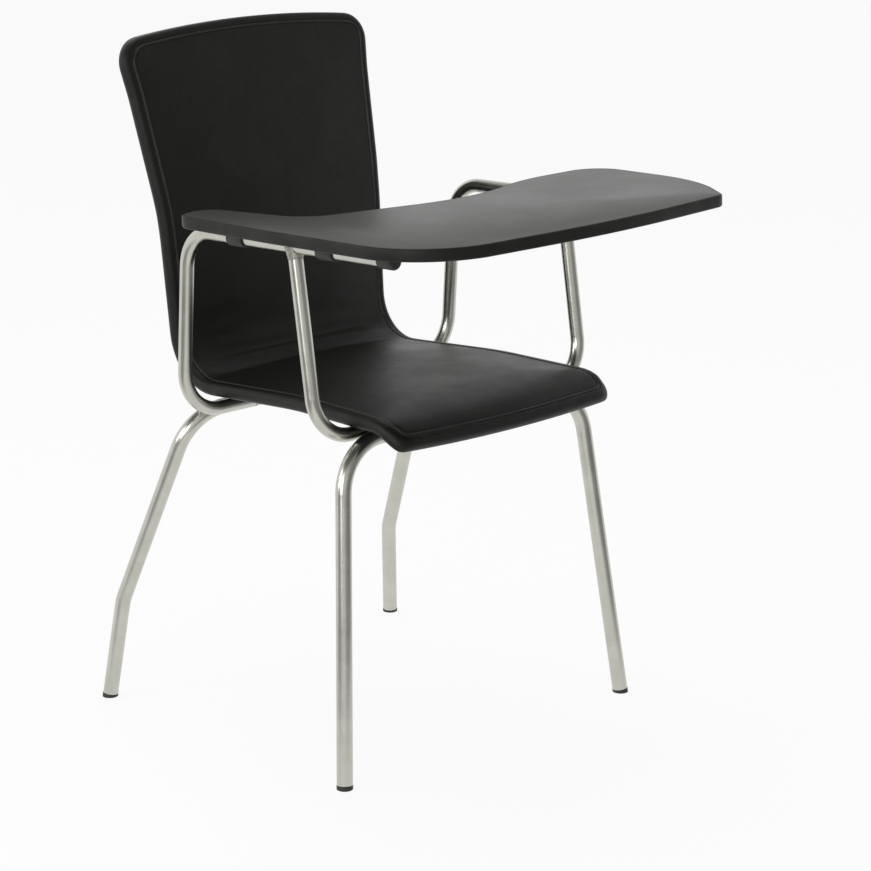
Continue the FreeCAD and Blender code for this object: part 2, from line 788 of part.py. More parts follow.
def fixing_room(frame, radius, depth_from):
    """Rod along a fixing's axis, used to clear the screws and nuts."""
    start = frame.multVec(Vector(0, 0, depth_from))
    return Part.makeCylinder(radius, 3 * dim.overrun, start, frame.Rotation.multVec(UP))


def layer_height(frame, depth):
    """Distance from a bar's underside, along the fixing, to a depth below the shell's face."""
    points, _ = shell_layer_path(depth, 0, 0)
    start = frame.Base
    heading = frame.Rotation.multVec(UP)
    for first, second in zip(points[1:], points[2:]):
        normal = under(first, second)
        gap = (first - start).dot(normal) / heading.dot(normal)
        place = start + heading * gap
        if first.y <= place.y <= second.y:
            return gap
    raise ValueError("a seat fixing lies outside the seat")


nut_radius = dim.nut_barrel / 2
flange_radius = dim.nut_flange / 2
nut_bore = dim.screw_shank / 2 + dim.thread_gap
spacer_radius = dim.spacer_width / 2


def make_core():
    core = shell_band(core_front, core_rear, dim.core_inset).common(core_tool)
    for frame in FIXINGS:
        top = layer_height(frame, core_front)
        sunk = top - dim.nut_flange_depth - 2 * dim.nut_gap
        core = core.cut(fixing_room(frame, nut_radius + dim.nut_gap, 0))
        core = core.cut(fixing_room(frame, flange_radius + dim.nut_gap, sunk))
    add_feature("shell_core", core.Solids[0])


def make_rear_cover():
    outer = shell_band(core_front, dim.shell_edge, 0).common(outline_tool)
    trim = dim.core_inset - dim.soft_gap
    hollow = shell_band(core_front - dim.overrun, core_rear + dim.soft_gap, trim).common(cavity_tool)
    cover = outer.cut(hollow)
    for frame in FIXINGS:
        cover = cover.cut(fixing_room(frame, dim.screw_shank / 2 + dim.bar_hole_gap, 0))
    add_feature("cushion_rear", max(cover.Solids, key=lambda solid: solid.Volume))


make_core()
make_rear_cover()


# Front pad: sections square to the shell, each with rounded edges and a crown
def pad_stations():
    """Places and directions along the shell's face, closer together on its bends."""
    points, radii = shell_layer_path(0, 0, 0)
    edges = rounded_path(points, radii)
    whole = sum(edge.Length for edge in edges)
    stations = []
    run = 0.0
    for edge in edges:
        if isinstance(edge.Curve, Part.Circle):
            turn = math.degrees(edge.Length / edge.Curve.Radius)
            steps = math.ceil(max(turn / BEND_STEP_ANGLE, edge.Length / dim.bend_step))
        else:
            steps = math.ceil(edge.Length / dim.straight_step)
        span = edge.LastParameter - edge.FirstParameter
        for step in range(steps):
            place = edge.FirstParameter + span * step / steps
            share = (run + edge.Length * step / steps) / whole
            stations.append((edge.valueAt(place), edge.tangentAt(place), share))
        run += edge.Length
    end = edges[-1].LastParameter
    stations.append((edges[-1].valueAt(end), edges[-1].tangentAt(end), 1.0))
    return stations


def pad_section(place, heading, share):
    """Closed section of the pad: base, drawn in sides, rounded edges and crown."""
    inward = Vector(0, heading.z, -heading.y)
    if place.y < join_back:
        half = seat_half_at(place.y)
    else:
        half = back_half_at(place.z)
    half -= dim.pad_side_tuck
    bend = dim.pad_edge_bend
    crown = dim.pad_crown * lerp(CROWN_SHARES, share)

    def at(across, depth):
        return place + Vector(across, 0, 0) + inward * depth

    slant = bend * (1 - math.sqrt(0.5))
    base = half - dim.pad_side_tuck
    edges = [
        Part.LineSegment(at(-base, dim.pad_depth), at(-half, bend)).toShape(),
        Part.Arc(at(-half, bend), at(-half + slant, slant), at(-half + bend, 0)).toShape(),
    ]
    if crown > dim.soft_gap:
        edges.append(Part.Arc(at(-half + bend, 0), at(0, -crown), at(half - bend, 0)).toShape())
    else:
        edges.append(Part.Arc(at(-half + bend, 0), at(0, -dim.soft_gap), at(half - bend, 0)).toShape())
    edges.append(Part.Arc(at(half - bend, 0), at(half - slant, slant), at(half, bend)).toShape())
    edges.append(Part.LineSegment(at(half, bend), at(base, dim.pad_depth)).toShape())
    edges.append(Part.LineSegment(at(base, dim.pad_depth), at(-base, dim.pad_depth)).toShape())
    return Part.Wire(edges)


def make_front_pad():
    stations = pad_stations()
    last_place, last_heading, _ = stations[-1]
    stations.append((last_place + last_heading * (dim.top_crown + dim.soft_gap), last_heading, 1.0))
    sections = [pad_section(*station) for station in stations]
    pad = Part.makeLoft(sections, True, True)
    pad = pad.common(outline_tool)
    add_feature("cushion_front", max(pad.Solids, key=lambda solid: solid.Volume))


make_front_pad()


# Nuts pressed into the core, and spacers between the bars and the shell
def make_nuts_and_spacers():
    nuts = []
    spacers = []
    for frame in FIXINGS:
        heading = frame.Rotation.multVec(UP)
        top = layer_height(frame, core_front) - dim.nut_gap
        bottom = layer_height(frame, core_rear) + dim.nut_gap
        flange_start = frame.multVec(Vector(0, 0, top - dim.nut_flange_depth))
        barrel_start = frame.multVec(Vector(0, 0, bottom))
        flange = Part.makeCylinder(flange_radius, dim.nut_flange_depth, flange_start, heading)
        barrel = Part.makeCylinder(nut_radius, top - bottom - dim.nut_flange_depth, barrel_start, heading)
        bore = Part.makeCylinder(nut_bore, top, frame.Base, heading)
        nuts.append(flange.fuse(barrel).cut(bore).Solids[0])
        spacer_start = frame.multVec(Vector(0, 0, dim.bar_thickness))
        front_rim = frame.multiply(Placement(Vector(0, -spacer_radius, 0), Rotation()))
        rear_rim = frame.multiply(Placement(Vector(0, spacer_radius, 0), Rotation()))
        lowest = min(layer_height(rim, dim.shell_edge) for rim in (front_rim, rear_rim))
        spacer_height = lowest - dim.soft_gap - dim.bar_thickness
        spacer = Part.makeCylinder(spacer_radius, spacer_height, spacer_start, heading)
        hole = Part.makeCylinder(dim.screw_shank / 2 + dim.bar_hole_gap, top, frame.Base, heading)
        spacers.append(spacer.cut(hole).Solids[0])
    placed_group("seat_tee_nuts", nuts)
    placed_group("seat_spacers", spacers)


make_nuts_and_spacers()


# Tablet: board, top laminate, backing sheet and edge band, drawn in the rail's frame
def tablet_outline(inset, height):
    across = tablet_outer + arm_side
    points = []
    for side_share, back_share, _ in TABLET_SHARES:
        back = dim.tablet_front_back + dim.tablet_depth * back_share - dim.rail_middle_back
        points.append(Vector(across + dim.tablet_width * side_share, back, height))
    radii = [dim.tablet_width * share for _, _, share in TABLET_SHARES]
    outline = rounded_loop(points, radii)
    if inset:
        outline = outline.makeOffset2D(-inset)
    return outline


def tablet_slab(inset, height, thickness):
    return prism(tablet_outline(inset, height), UP * thickness)


def rim_slope(bend, wide_height, narrow_height):
    """Solid between the full outline and one drawn in by the edge's bend."""
    wide = tablet_outline(0, wide_height)
    narrow = tablet_outline(bend, narrow_height)
    return Part.makeLoft([wide, narrow], True, True)


def clip_screw_places(name):
    """Where a clip's screws enter its tab, in the rail's frame."""
    middle = value("Sizes.%s_clip_back" % name) - dim.rail_middle_back
    reach = value("Sizes.%s_clip_length / 2 - Sizes.clip_screw_margin" % name)
    height = tablet_base - dim.clip_wall
    return [Vector(-dim.clip_screw_side, middle + step, height) for step in (-reach, reach)]


def pilot_holes():
    """Rods that clear the clip screws in the board."""
    radius = dim.clip_screw / 2 + dim.thread_gap
    length = dim.clip_wall + dim.clip_screw_bite + dim.rest_gap
    places = clip_screw_places("rear") + clip_screw_places("front")
    return [Part.makeCylinder(radius, length, place, UP) for place in places]


def make_tablet():
    low = tablet_base
    high = low + dim.tablet_thickness
    board = dim.tablet_thickness - 2 * dim.laminate
    inner = dim.edge_band
    holes = pilot_holes()
    add_feature("tablet_core", tablet_slab(inner, low + dim.laminate, board).cut(holes).Solids[0], RAIL)
    add_feature("tablet_backing", tablet_slab(inner, low, dim.laminate).cut(holes).Solids[0], RAIL)
    add_feature("tablet_top", tablet_slab(inner, high - dim.laminate, dim.laminate), RAIL)
    low_bend = dim.edge_low_bend
    top_bend = dim.edge_top_bend
    upright = tablet_slab(0, low + low_bend, dim.tablet_thickness - low_bend - top_bend)
    slopes = [rim_slope(low_bend / 2, low + low_bend, low), rim_slope(top_bend, high - top_bend, high)]
    band = upright.multiFuse(slopes)
    band = band.cut(tablet_slab(inner, low - dim.overrun, dim.tablet_thickness + 2 * dim.overrun))
    add_feature("tablet_edge", max(band.Solids, key=lambda solid: solid.Volume), RAIL)


make_tablet()


# Clips: a ring round the rail with a leg and a tab on the outer side, screwed up into the board
def rail_rod_form(name, radius, length, back):
    """Cylinder along the rail; its length and middle are expressions."""
    rod = doc.addObject("Part::Cylinder", name)
    rod.Placement = Placement(Vector(), Rotation(SIDE, -90))
    start = "%s - Sizes.rail_middle_back - (%s) / 2" % (back, length)
    bind(rod, {"Radius": radius, "Height": length, "Placement.Base.y": start})
    return rod


def rail_box_form(name, across, width, low, height, length, back):
    """Box along the rail, from its outer side and its lower face."""
    block = doc.addObject("Part::Box", name)
    start = "%s - Sizes.rail_middle_back - (%s) / 2" % (back, length)
    sizes = {"Length": width, "Width": length, "Height": height}
    places = {"Placement.Base.x": across, "Placement.Base.y": start, "Placement.Base.z": low}
    bind(block, sizes)
    bind(block, places)
    return block


def joined(kind, label, base, tool):
    """A boolean of two forms."""
    item = doc.addObject(kind, label)
    item.Label = label
    item.Base = base
    item.Tool = tool
    return item


def fused(label, forms):
    item = doc.addObject("Part::MultiFuse", label)
    item.Shapes = forms
    return item


clip_screw = make_screw_form(
    "clip_screw_form",
    "Sizes.clip_screw / 2",
    "Sizes.clip_screw_head / 2",
    "Sizes.clip_screw_head_depth",
    "(Sizes.clip_wall + Sizes.clip_screw_bite)",
)
BORE = "Sizes.arm_tube / 2 + Sizes.running_gap"
RING = "Sizes.arm_tube / 2 + Sizes.running_gap + Sizes.clip_wall"
TABLET_BASE = "Sizes.arm_tube / 2 + Sizes.tablet_lift"


def screw_hole_form(name, along):
    hole = doc.addObject("Part::Cylinder", name)
    places = {
        "Placement.Base.x": "-Sizes.clip_screw_side",
        "Placement.Base.y": along,
        "Placement.Base.z": TABLET_BASE + " - 2 * Sizes.clip_wall",
    }
    bind(hole, {"Radius": "Sizes.clip_screw / 2 + Sizes.stem_gap", "Height": "3 * Sizes.clip_wall"})
    bind(hole, places)
    return hole


def make_clip(label, name):
    length = "Sizes.%s_clip_length" % name
    back = "Sizes.%s_clip_back" % name
    long = "%s + 2 * Sizes.overrun" % length
    spread = "(%s / 2 - Sizes.clip_screw_margin)" % length
    leg_width = "Sizes.clip_wall"
    tab_width = "Sizes.clip_tab_reach - (%s)" % BORE
    ring = rail_rod_form(label + "_ring", RING, length, back)
    leg = rail_box_form(label + "_leg", "-(%s)" % RING, leg_width, "0", TABLET_BASE, length, back)
    tab_low = TABLET_BASE + " - Sizes.clip_wall"
    tab_start = "-Sizes.clip_tab_reach"
    tab = rail_box_form(label + "_tab", tab_start, tab_width, tab_low, "Sizes.clip_wall", length, back)
    bore = rail_rod_form(label + "_bore", BORE, long, back)
    near_hole = screw_hole_form(label + "_hole_front", "%s - Sizes.rail_middle_back - %s" % (back, spread))
    far_hole = screw_hole_form(label + "_hole_rear", "%s - Sizes.rail_middle_back + %s" % (back, spread))
    solid = fused(label + "_solid", [ring, leg, tab])
    tools = fused(label + "_tools", [bore, near_hole, far_hole])
    clip = joined("Part::Cut", label + "_clip", solid, tools)
    pad_width = "%s + Sizes.clip_pad_inboard - Sizes.soft_gap" % BORE
    pad_start = "-(%s) + Sizes.soft_gap" % BORE
    pad_low = TABLET_BASE + " - Sizes.clip_pad_drop"
    drop = "Sizes.clip_pad_drop"
    block = rail_box_form(label + "_pad_block", pad_start, pad_width, pad_low, drop, length, back)
    room = rail_rod_form(label + "_pad_room", RING + " + Sizes.thread_gap", long, back)
    pad = joined("Part::Cut", label + "_pad", block, room)
    for item in (clip, pad):
        item.Placement = RAIL
        nodes.append(item)
    frames = [Placement(place, Rotation()) for place in clip_screw_places(name)]
    screws = [placed_copy(clip_screw.Shape, frame) for frame in frames]
    add_feature(label + "_screws", Part.makeCompound(screws), RAIL)


make_clip("tablet_rear", "rear")
make_clip("tablet_front", "front")


# Rest block: a cap on the rail's front end whose flat top carries the tablet
def make_rest_block():
    end = (dim.rail_front_back - dim.rail_middle_back) / math.cos(math.radians(dim.rail_slope_angle))
    front = end - (dim.rest_length - dim.rest_socket)
    top = tablet_base - dim.rest_gap
    radius = arm_radius + dim.rest_wall
    cap = Part.makeCylinder(radius, dim.rest_length, Vector(0, front, 0), REAR)
    nose = [edge for edge in cap.Edges if edge.BoundBox.YMax < front + dim.rest_wall]
    cap = cap.makeFillet(dim.rest_end_bend, nose)
    ledge_length = dim.rest_length - dim.rest_end_bend
    ledge = Part.makeBox(dim.rest_ledge, ledge_length, top, Vector(0, front + dim.rest_end_bend, 0))
    socket = Part.makeCylinder(arm_radius + dim.stem_gap, dim.rest_length, Vector(0, end, 0), REAR)
    add_feature("rest_block", cap.fuse(ledge).cut(socket).Solids[0], RAIL)


make_rest_block()


# Support plate on the rail's inner side, with a rubber pad under the tablet
def make_support():
    start = dim.plate_back - dim.rail_middle_back - dim.plate_length / 2
    low = Vector(0, start, dim.plate_rise)
    plate = Part.makeBox(dim.plate_reach, dim.plate_length, dim.plate_thickness, low)
    tube_start = Vector(0, start - dim.overrun, 0)
    tube = Part.makeCylinder(arm_radius, dim.plate_length + 2 * dim.overrun, tube_start, REAR)
    plate = plate.cut(tube).Solids[0]
    add_feature("support_plate", plate, RAIL)
    top = dim.plate_rise + dim.plate_thickness
    base = Vector(dim.pad_side, dim.plate_back - dim.rail_middle_back, top)
    pad = Part.makeCylinder(dim.pad_width / 2, tablet_base - dim.rest_gap - top, base, UP)
    rim = [edge for edge in pad.Edges if edge.BoundBox.ZMin > top + dim.rest_gap]
    add_feature("support_pad", pad.makeFillet(dim.laminate, rim), RAIL)


make_support()


# Weld beads, cut to the tubes that they join
def side_beads(sign, run_points, cross):
    """Two beads in the grooves between an arm's run and the cross tube beside it."""
    start = run_points[0]
    across = Vector(0, start.y - cross.y, start.z - cross.z).normalize()
    touch = Vector(start.x, cross.y, cross.z) + across * leg_radius
    tilt = math.degrees(math.atan2(across.z, across.y))
    leg_rod = Part.makeCylinder(leg_radius, 2 * cross_side, Vector(-cross_side, cross.y, cross.z), SIDE)
    arm_rod = Part.makeCylinder(arm_radius, 2 * cross_side, Vector(-cross_side, start.y, start.z), SIDE)
    beads = []
    for face in (-1, 1):
        low = dim.weld_root if face > 0 else -dim.weld_reach
        width = dim.weld_reach - dim.weld_root
        block = Part.makeBox(dim.weld_length, 2 * dim.weld_root, width, Vector(0, -dim.weld_root, low))
        shift = 0 if sign > 0 else -dim.weld_length
        block.Placement = Placement(touch + Vector(shift, 0, 0), Rotation(SIDE, tilt))
        beads.append(max(block.cut(leg_rod).cut(arm_rod).Solids, key=lambda solid: solid.Volume))
    return beads


def bar_beads(side, along):
    """Two beads under a seat bar, one each side of a cross tube."""
    frame = bar_frame(side)
    rod_start = frame.multVec(Vector(-dim.bar_width, along, -leg_radius))
    rod = Part.makeCylinder(leg_radius, 2 * dim.bar_width, rod_start, SIDE)
    beads = []
    for face in (-1, 1):
        low = dim.bar_weld_root if face > 0 else -dim.bar_weld_reach
        size = dim.bar_weld_reach - dim.bar_weld_root
        length = dim.bar_width - 2 * dim.bar_corner_bend
        block = Part.makeBox(length, size, dim.weld_root, Vector(-length / 2, along + low, -dim.weld_root))
        block.Placement = frame
        beads.append(max(block.cut(rod).Solids, key=lambda solid: solid.Volume))
    return beads


def make_welds():
    front_cross_place = Vector(0, dim.front_cross_back, dim.frame_height)
    rear_cross_place = Vector(0, rear_cross, rear_cross_height)
    beads = []
    for sign in (-1, 1):
        beads += side_beads(sign, arm_front_points(sign)[::-1], front_cross_place)
        beads += side_beads(sign, arm_rear_points(sign), rear_cross_place)
        for along in (0, bar_span):
            beads += bar_beads(sign * dim.bar_side, along)
    top = post_points[0]
    down = (post_points[1] - top).normalize()
    reach = arm_radius + dim.collar_depth
    foot = top + down * reach
    collar = Part.makeCone(arm_radius, arm_radius + dim.collar_reach, reach, foot, -down)
    post_rod = Part.makeCylinder(arm_radius, 2 * reach, foot + down * (reach / 2), -down)
    ring = collar.cut(post_rod).cut(rail_rod)
    beads.append(max(ring.Solids, key=lambda solid: solid.Volume))
    placed_group("weld_beads", beads)


make_welds()

doc.recompute()

for item in doc.Objects:
    if "Invalid" in item.State or "Error" in item.State:
        raise RuntimeError("%s failed: %s" % (item.Label, item.State))
for item in nodes:
    if item.Shape.isNull() or not item.Shape.isValid():
        raise RuntimeError("%s has no valid shape" % item.Label)

os.makedirs("parts", exist_ok=True)
for item in nodes:
    item.Shape.exportStep("parts/%s.step" % item.Label)
    box = item.Shape.BoundBox
    corners = (box.XMin, box.YMin, box.ZMin, box.XMax, box.YMax, box.ZMax)
    print(item.Label, len(item.Shape.Solids), "solids", " ".join("%.1f" % corner for corner in corners))
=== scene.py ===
import json
import math

import bmesh
import bpy
from mathutils import Matrix, Vector
from mathutils.kdtree import KDTree


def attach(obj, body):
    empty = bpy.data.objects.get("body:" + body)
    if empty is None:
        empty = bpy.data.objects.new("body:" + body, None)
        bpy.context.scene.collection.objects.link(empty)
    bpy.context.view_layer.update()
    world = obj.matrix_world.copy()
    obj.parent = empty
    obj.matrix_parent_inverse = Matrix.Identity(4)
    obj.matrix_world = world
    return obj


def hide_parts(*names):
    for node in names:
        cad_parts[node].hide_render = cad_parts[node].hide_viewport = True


# A training chair: bent tube frame, leather shell with a boxed edge, and a writing tablet on the right arm.
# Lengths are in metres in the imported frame: X to the sitter's left, Y to the rear, Z up.

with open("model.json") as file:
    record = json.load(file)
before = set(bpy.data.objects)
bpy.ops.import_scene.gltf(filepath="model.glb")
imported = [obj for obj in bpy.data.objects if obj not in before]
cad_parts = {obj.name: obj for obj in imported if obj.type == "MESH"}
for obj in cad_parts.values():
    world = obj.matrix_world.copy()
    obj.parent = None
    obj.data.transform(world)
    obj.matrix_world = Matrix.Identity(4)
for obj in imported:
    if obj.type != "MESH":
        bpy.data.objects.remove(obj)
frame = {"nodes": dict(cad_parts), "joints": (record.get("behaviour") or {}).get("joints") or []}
bpy.ops.object.select_all(action="DESELECT")
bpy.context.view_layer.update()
nodes = frame["nodes"]
scene = bpy.context.scene
MM = 0.001

# The hinge gives the place of the chair's own frame, whose Y is zero at the front feet
hinge = frame["joints"][0]
HINGE = Vector(hinge["pos_m"])
RAIL_PLACE = Vector((-231.0, 150.0, 657.44)) * MM
RAIL_SLOPE = math.atan2(hinge["axis"][2], -hinge["axis"][1])
HOME = HINGE - RAIL_PLACE
RAIL_FRAME = Matrix.Translation(HINGE) @ Matrix.Rotation(-RAIL_SLOPE, 4, "X")

# Camera, as fitted to the photograph
CAMERA_AZIMUTH = math.radians(-43.81)
CAMERA_ELEVATION = math.radians(15.324)
CAMERA_DISTANCE = 3714.45 * MM
CAMERA_AIM = HOME + Vector((-5.165, 93.411, 384.0)) * MM
PHOTO_WIDTH_PX = 871
FOCAL_LENGTH_PX = 2932.46
SENSOR_WIDTH = 36.0


def make_camera():
    back = Vector((
        math.sin(CAMERA_AZIMUTH) * math.cos(CAMERA_ELEVATION),
        -math.cos(CAMERA_AZIMUTH) * math.cos(CAMERA_ELEVATION),
        math.sin(CAMERA_ELEVATION),
    ))
    bpy.ops.object.camera_add(location=CAMERA_AIM + back * CAMERA_DISTANCE)
    camera = bpy.context.object
    camera.rotation_mode = "QUATERNION"
    camera.rotation_quaternion = (-back).to_track_quat("-Z", "Y")
    camera.data.sensor_width = SENSOR_WIDTH
    camera.data.lens = SENSOR_WIDTH * FOCAL_LENGTH_PX / PHOTO_WIDTH_PX
    camera.data.clip_start = 0.1
    camera.data.clip_end = 100.0
    scene.camera = camera


make_camera()


# Finishes
class Value:
    """A node's output, which sums and products can use."""

    def __init__(self, finish, socket):
        self.finish = finish
        self.socket = socket

    def __add__(self, other):
        return self.finish.maths("ADD", self, other)

    def __radd__(self, other):
        return self.finish.maths("ADD", other, self)

    def __sub__(self, other):
        return self.finish.maths("SUBTRACT", self, other)

    def __rsub__(self, other):
        return self.finish.maths("SUBTRACT", other, self)

    def __mul__(self, other):
        return self.finish.maths("MULTIPLY", self, other)

    def __rmul__(self, other):
        return self.finish.maths("MULTIPLY", other, self)


def socket_named(sockets, key):
    """A node's socket by its identifier, or by its place in the list."""
    if isinstance(key, int):
        return sockets[key]
    return next(socket for socket in sockets if socket.identifier == key)


class Shading:
    """A node tree, built one node at a time."""

    def __init__(self, tree):
        self.tree = tree

    def feed(self, socket, value):
        """Links a value to a socket, or sets a plain one."""
        if isinstance(value, Value):
            self.tree.links.new(value.socket, socket)
        elif isinstance(value, tuple) and socket.type == "RGBA":
            socket.default_value = (*value, 1.0)
        else:
            socket.default_value = value

    def node(self, kind, sockets, output=0, **settings):
        """Adds a node: its settings first, then the values or links of its sockets."""
        made = self.tree.nodes.new("ShaderNode" + kind)
        for name, setting in settings.items():
            setattr(made, name, setting)
        for key, value in sockets.items():
            self.feed(socket_named(made.inputs, key), value)
        return Value(self, socket_named(made.outputs, output))

    def maths(self, operation, first, second):
        return self.node("Math", {0: first, 1: second}, operation=operation)

    def between(self, value, low, high):
        """Zero at one value and one at another, smooth between."""
        sockets = {"Value": value, "From Min": low, "From Max": high}
        return self.node("MapRange", sockets, interpolation_type="SMOOTHSTEP")

    def along(self, place, way):
        """How far a place lies along a direction."""
        return self.node("VectorMath", {0: place, 1: way}, output="Value", operation="DOT_PRODUCT")

    def ray(self, kind):
        return self.node("LightPath", {}, output="Is %s Ray" % kind)

    def seen(self):
        """One for what shows directly, in gloss or through glass."""
        gloss = self.maths("MAXIMUM", self.ray("Glossy"), self.ray("Transmission"))
        return self.maths("MAXIMUM", self.ray("Camera"), gloss)


class Finish(Shading):
    """A procedural material on one Principled shader."""

    def __init__(self, name, **constants):
        self.material = bpy.data.materials.new(name)
        self.material.use_nodes = True
        super().__init__(self.material.node_tree)
        self.shader = self.tree.nodes["Principled BSDF"]
        for key, value in constants.items():
            self.shader.inputs[key.replace("_", " ")].default_value = value
        self.place = self.node("TexCoord", {}, output="Object")

    def stretched(self, scale):
        """Object coordinates, scaled apart along X, Y and Z."""
        return self.node("Mapping", {"Vector": self.place, "Scale": scale})

    def noise(self, scale, detail=2.0, roughness=0.5, place=None):
        sockets = {"Vector": place or self.place, "Scale": scale, "Detail": detail, "Roughness": roughness}
        return self.node("TexNoise", sockets)

    def cells(self, scale, feature, place=None):
        return self.node("TexVoronoi", {"Vector": place or self.place, "Scale": scale}, feature=feature)

    def mixed(self, share, first, second):
        """One colour turning into another."""
        sockets = {"Factor_Float": share, "A_Color": first, "B_Color": second}
        return self.node("Mix", sockets, output="Result_Color", data_type="RGBA")

    def warped(self, scale, reach):
        """Object coordinates, pushed about by a coarse noise."""
        drift = self.node("TexNoise", {"Vector": self.place, "Scale": scale}, output="Color")
        shift = self.node("VectorMath", {0: drift, "Scale": reach}, operation="SCALE")
        return self.node("VectorMath", {0: self.place, 1: shift}, operation="ADD")

    def bump(self, height, distance, strength, under=None):
        sockets = {"Height": height, "Distance": distance, "Strength": strength}
        if under:
            sockets["Normal"] = under
        return self.node("Bump", sockets)

    def paint(self, **inputs):
        """Feeds the shader's varying inputs."""
        for key, value in inputs.items():
            self.feed(self.shader.inputs[key.replace("_", " ")], value)
        return self.material


def leather(name, ior, base_roughness):
    """Black pebbled leather with a low sheen, rubbed a little smoother in patches."""
    finish = Finish(name, IOR=ior)
    place = finish.warped(300.0, 0.0009)
    pebbles = finish.between(finish.cells(640.0, "DISTANCE_TO_EDGE", place), 0.02, 0.22)
    pores = finish.noise(2600.0, 3.0, 0.6)
    rubbed = finish.between(finish.noise(14.0, 3.0, 0.55), 0.35, 0.72)
    tone = finish.mixed(rubbed, (0.0052, 0.0053, 0.0038), (0.0084, 0.0085, 0.0062))
    colour = finish.mixed(pebbles * 0.6 + pores * 0.4, (0.0032, 0.0032, 0.0024), tone)
    slack = finish.bump(finish.noise(46.0, 2.0, 0.5), 0.0011, 0.35)
    relief = finish.bump(pebbles * 0.75 + pores * 0.25, 0.00022, 0.55, under=slack)
    gloss = base_roughness + pores * 0.10 - rubbed * 0.07
    return finish.paint(Base_Color=colour, Roughness=gloss, Normal=relief)


def welt_leather_painted_highlight():
    """The piping: the same hide, stretched smooth over its cord, but coloured lighter than the leather as a
    painted highlight along its ridge.
    """
    finish = Finish("piping_leather_painted_highlight", IOR=1.45)
    pores = finish.noise(2200.0, 3.0, 0.6)
    rubbed = finish.between(finish.noise(60.0, 2.0), 0.4, 0.7)
    # Painted highlight: both colours are lighter than the leather's, mixed by rubbed patches.
    colour = finish.mixed(rubbed, (0.010, 0.010, 0.0080), (0.017, 0.017, 0.0138))
    relief = finish.bump(pores, 0.00012, 0.5)
    return finish.paint(Base_Color=colour, Roughness=0.30 + pores * 0.10, Normal=relief)


def plated_tube():
    """Satin nickel plate on polished tube: soft reflections, faint haze and hairline marks."""
    finish = Finish("satin_nickel", Metallic=1.0)
    haze = finish.noise(34.0, 4.0, 0.6)
    hairs = finish.noise(900.0, 2.0, 0.6, place=finish.stretched((1.0, 1.0, 0.06)))
    colour = finish.mixed(finish.between(haze, 0.3, 0.75), (0.512, 0.508, 0.455), (0.572, 0.568, 0.512))
    relief = finish.bump(hairs, 0.00002, 0.4)
    return finish.paint(Base_Color=colour, Roughness=0.17 + haze * 0.10 + hairs * 0.04, Normal=relief)


def plated_bar():
    """The same plate over rolled bar, a little rougher."""
    finish = Finish("satin_nickel_bar", Metallic=1.0)
    haze = finish.noise(60.0, 4.0, 0.6)
    grind = finish.noise(1400.0, 2.0, 0.6, place=finish.stretched((1.0, 0.05, 1.0)))
    colour = finish.mixed(haze, (0.46, 0.452, 0.415), (0.54, 0.532, 0.49))
    relief = finish.bump(grind, 0.00003, 0.6)
    return finish.paint(Base_Color=colour, Roughness=0.26 + haze * 0.12, Normal=relief)


def weld_metal():
    """Plated weld bead with dull heat marks in its hollows."""
    finish = Finish("plated_weld", Metallic=1.0)
    grain = finish.noise(1500.0, 4.0, 0.65)
    stain = finish.between(finish.noise(220.0, 3.0), 0.35, 0.7)
    colour = finish.mixed(stain, (0.34, 0.33, 0.29), (0.47, 0.46, 0.42))
    relief = finish.bump(grain, 0.0001, 0.5)
    return finish.paint(Base_Color=colour, Roughness=0.30 + grain * 0.18, Normal=relief)


def zinc_screw():
    """Bright zinc on small hardware."""
    finish = Finish("zinc_plate", Metallic=1.0)
    bloom = finish.noise(500.0, 4.0, 0.6)
    colour = finish.mixed(bloom, (0.46, 0.46, 0.45), (0.66, 0.66, 0.64))
    relief = finish.bump(bloom, 0.00004, 0.4)
    return finish.paint(Base_Color=colour, Roughness=0.24 + bloom * 0.2, Normal=relief)


def moulded_plastic():
    """Spark textured black nylon with scuffed high spots."""
    finish = Finish("black_nylon", IOR=1.5)
    texture = finish.cells(1800.0, "SMOOTH_F1")
    scuffs = finish.between(finish.noise(130.0, 5.0, 0.7), 0.56, 0.74)
    colour = finish.mixed(scuffs, (0.014, 0.014, 0.0125), (0.034, 0.034, 0.031))
    relief = finish.bump(texture, 0.00010, 0.5)
    return finish.paint(Base_Color=colour, Roughness=0.46 + texture * 0.2, Normal=relief)


def matt_rubber():
    """Black rubber with a dusty bloom."""
    finish = Finish("black_rubber", IOR=1.5)
    bloom = finish.between(finish.noise(90.0, 4.0, 0.6), 0.35, 0.75)
    grain = finish.noise(1800.0, 2.0)
    colour = finish.mixed(bloom, (0.012, 0.012, 0.012), (0.030, 0.029, 0.027))
    relief = finish.bump(grain, 0.0001, 0.5)
    return finish.paint(Base_Color=colour, Roughness=0.72 + bloom * 0.14, Normal=relief)


def tablet_laminate():
    """Charcoal laminate with a fine pearl texture, a satin sheen and faint wear from writing."""
    finish = Finish("tablet_laminate", IOR=1.30)
    pearl = finish.cells(1500.0, "SMOOTH_F1", finish.warped(500.0, 0.0006))
    wear = finish.between(finish.noise(7.0, 4.0, 0.6), 0.38, 0.72)
    lines = finish.noise(620.0, 3.0, 0.7, place=finish.stretched((1.0, 0.03, 1.0)))
    scratches = finish.between(lines, 0.68, 0.74)
    colour = finish.mixed(wear, (0.047, 0.0495, 0.044), (0.058, 0.061, 0.0545))
    colour = finish.mixed(scratches * 0.22, colour, (0.095, 0.098, 0.088))
    relief = finish.bump(pearl, 0.00006, 0.5)
    return finish.paint(Base_Color=colour, Roughness=0.37 + pearl * 0.10 - wear * 0.04, Normal=relief)


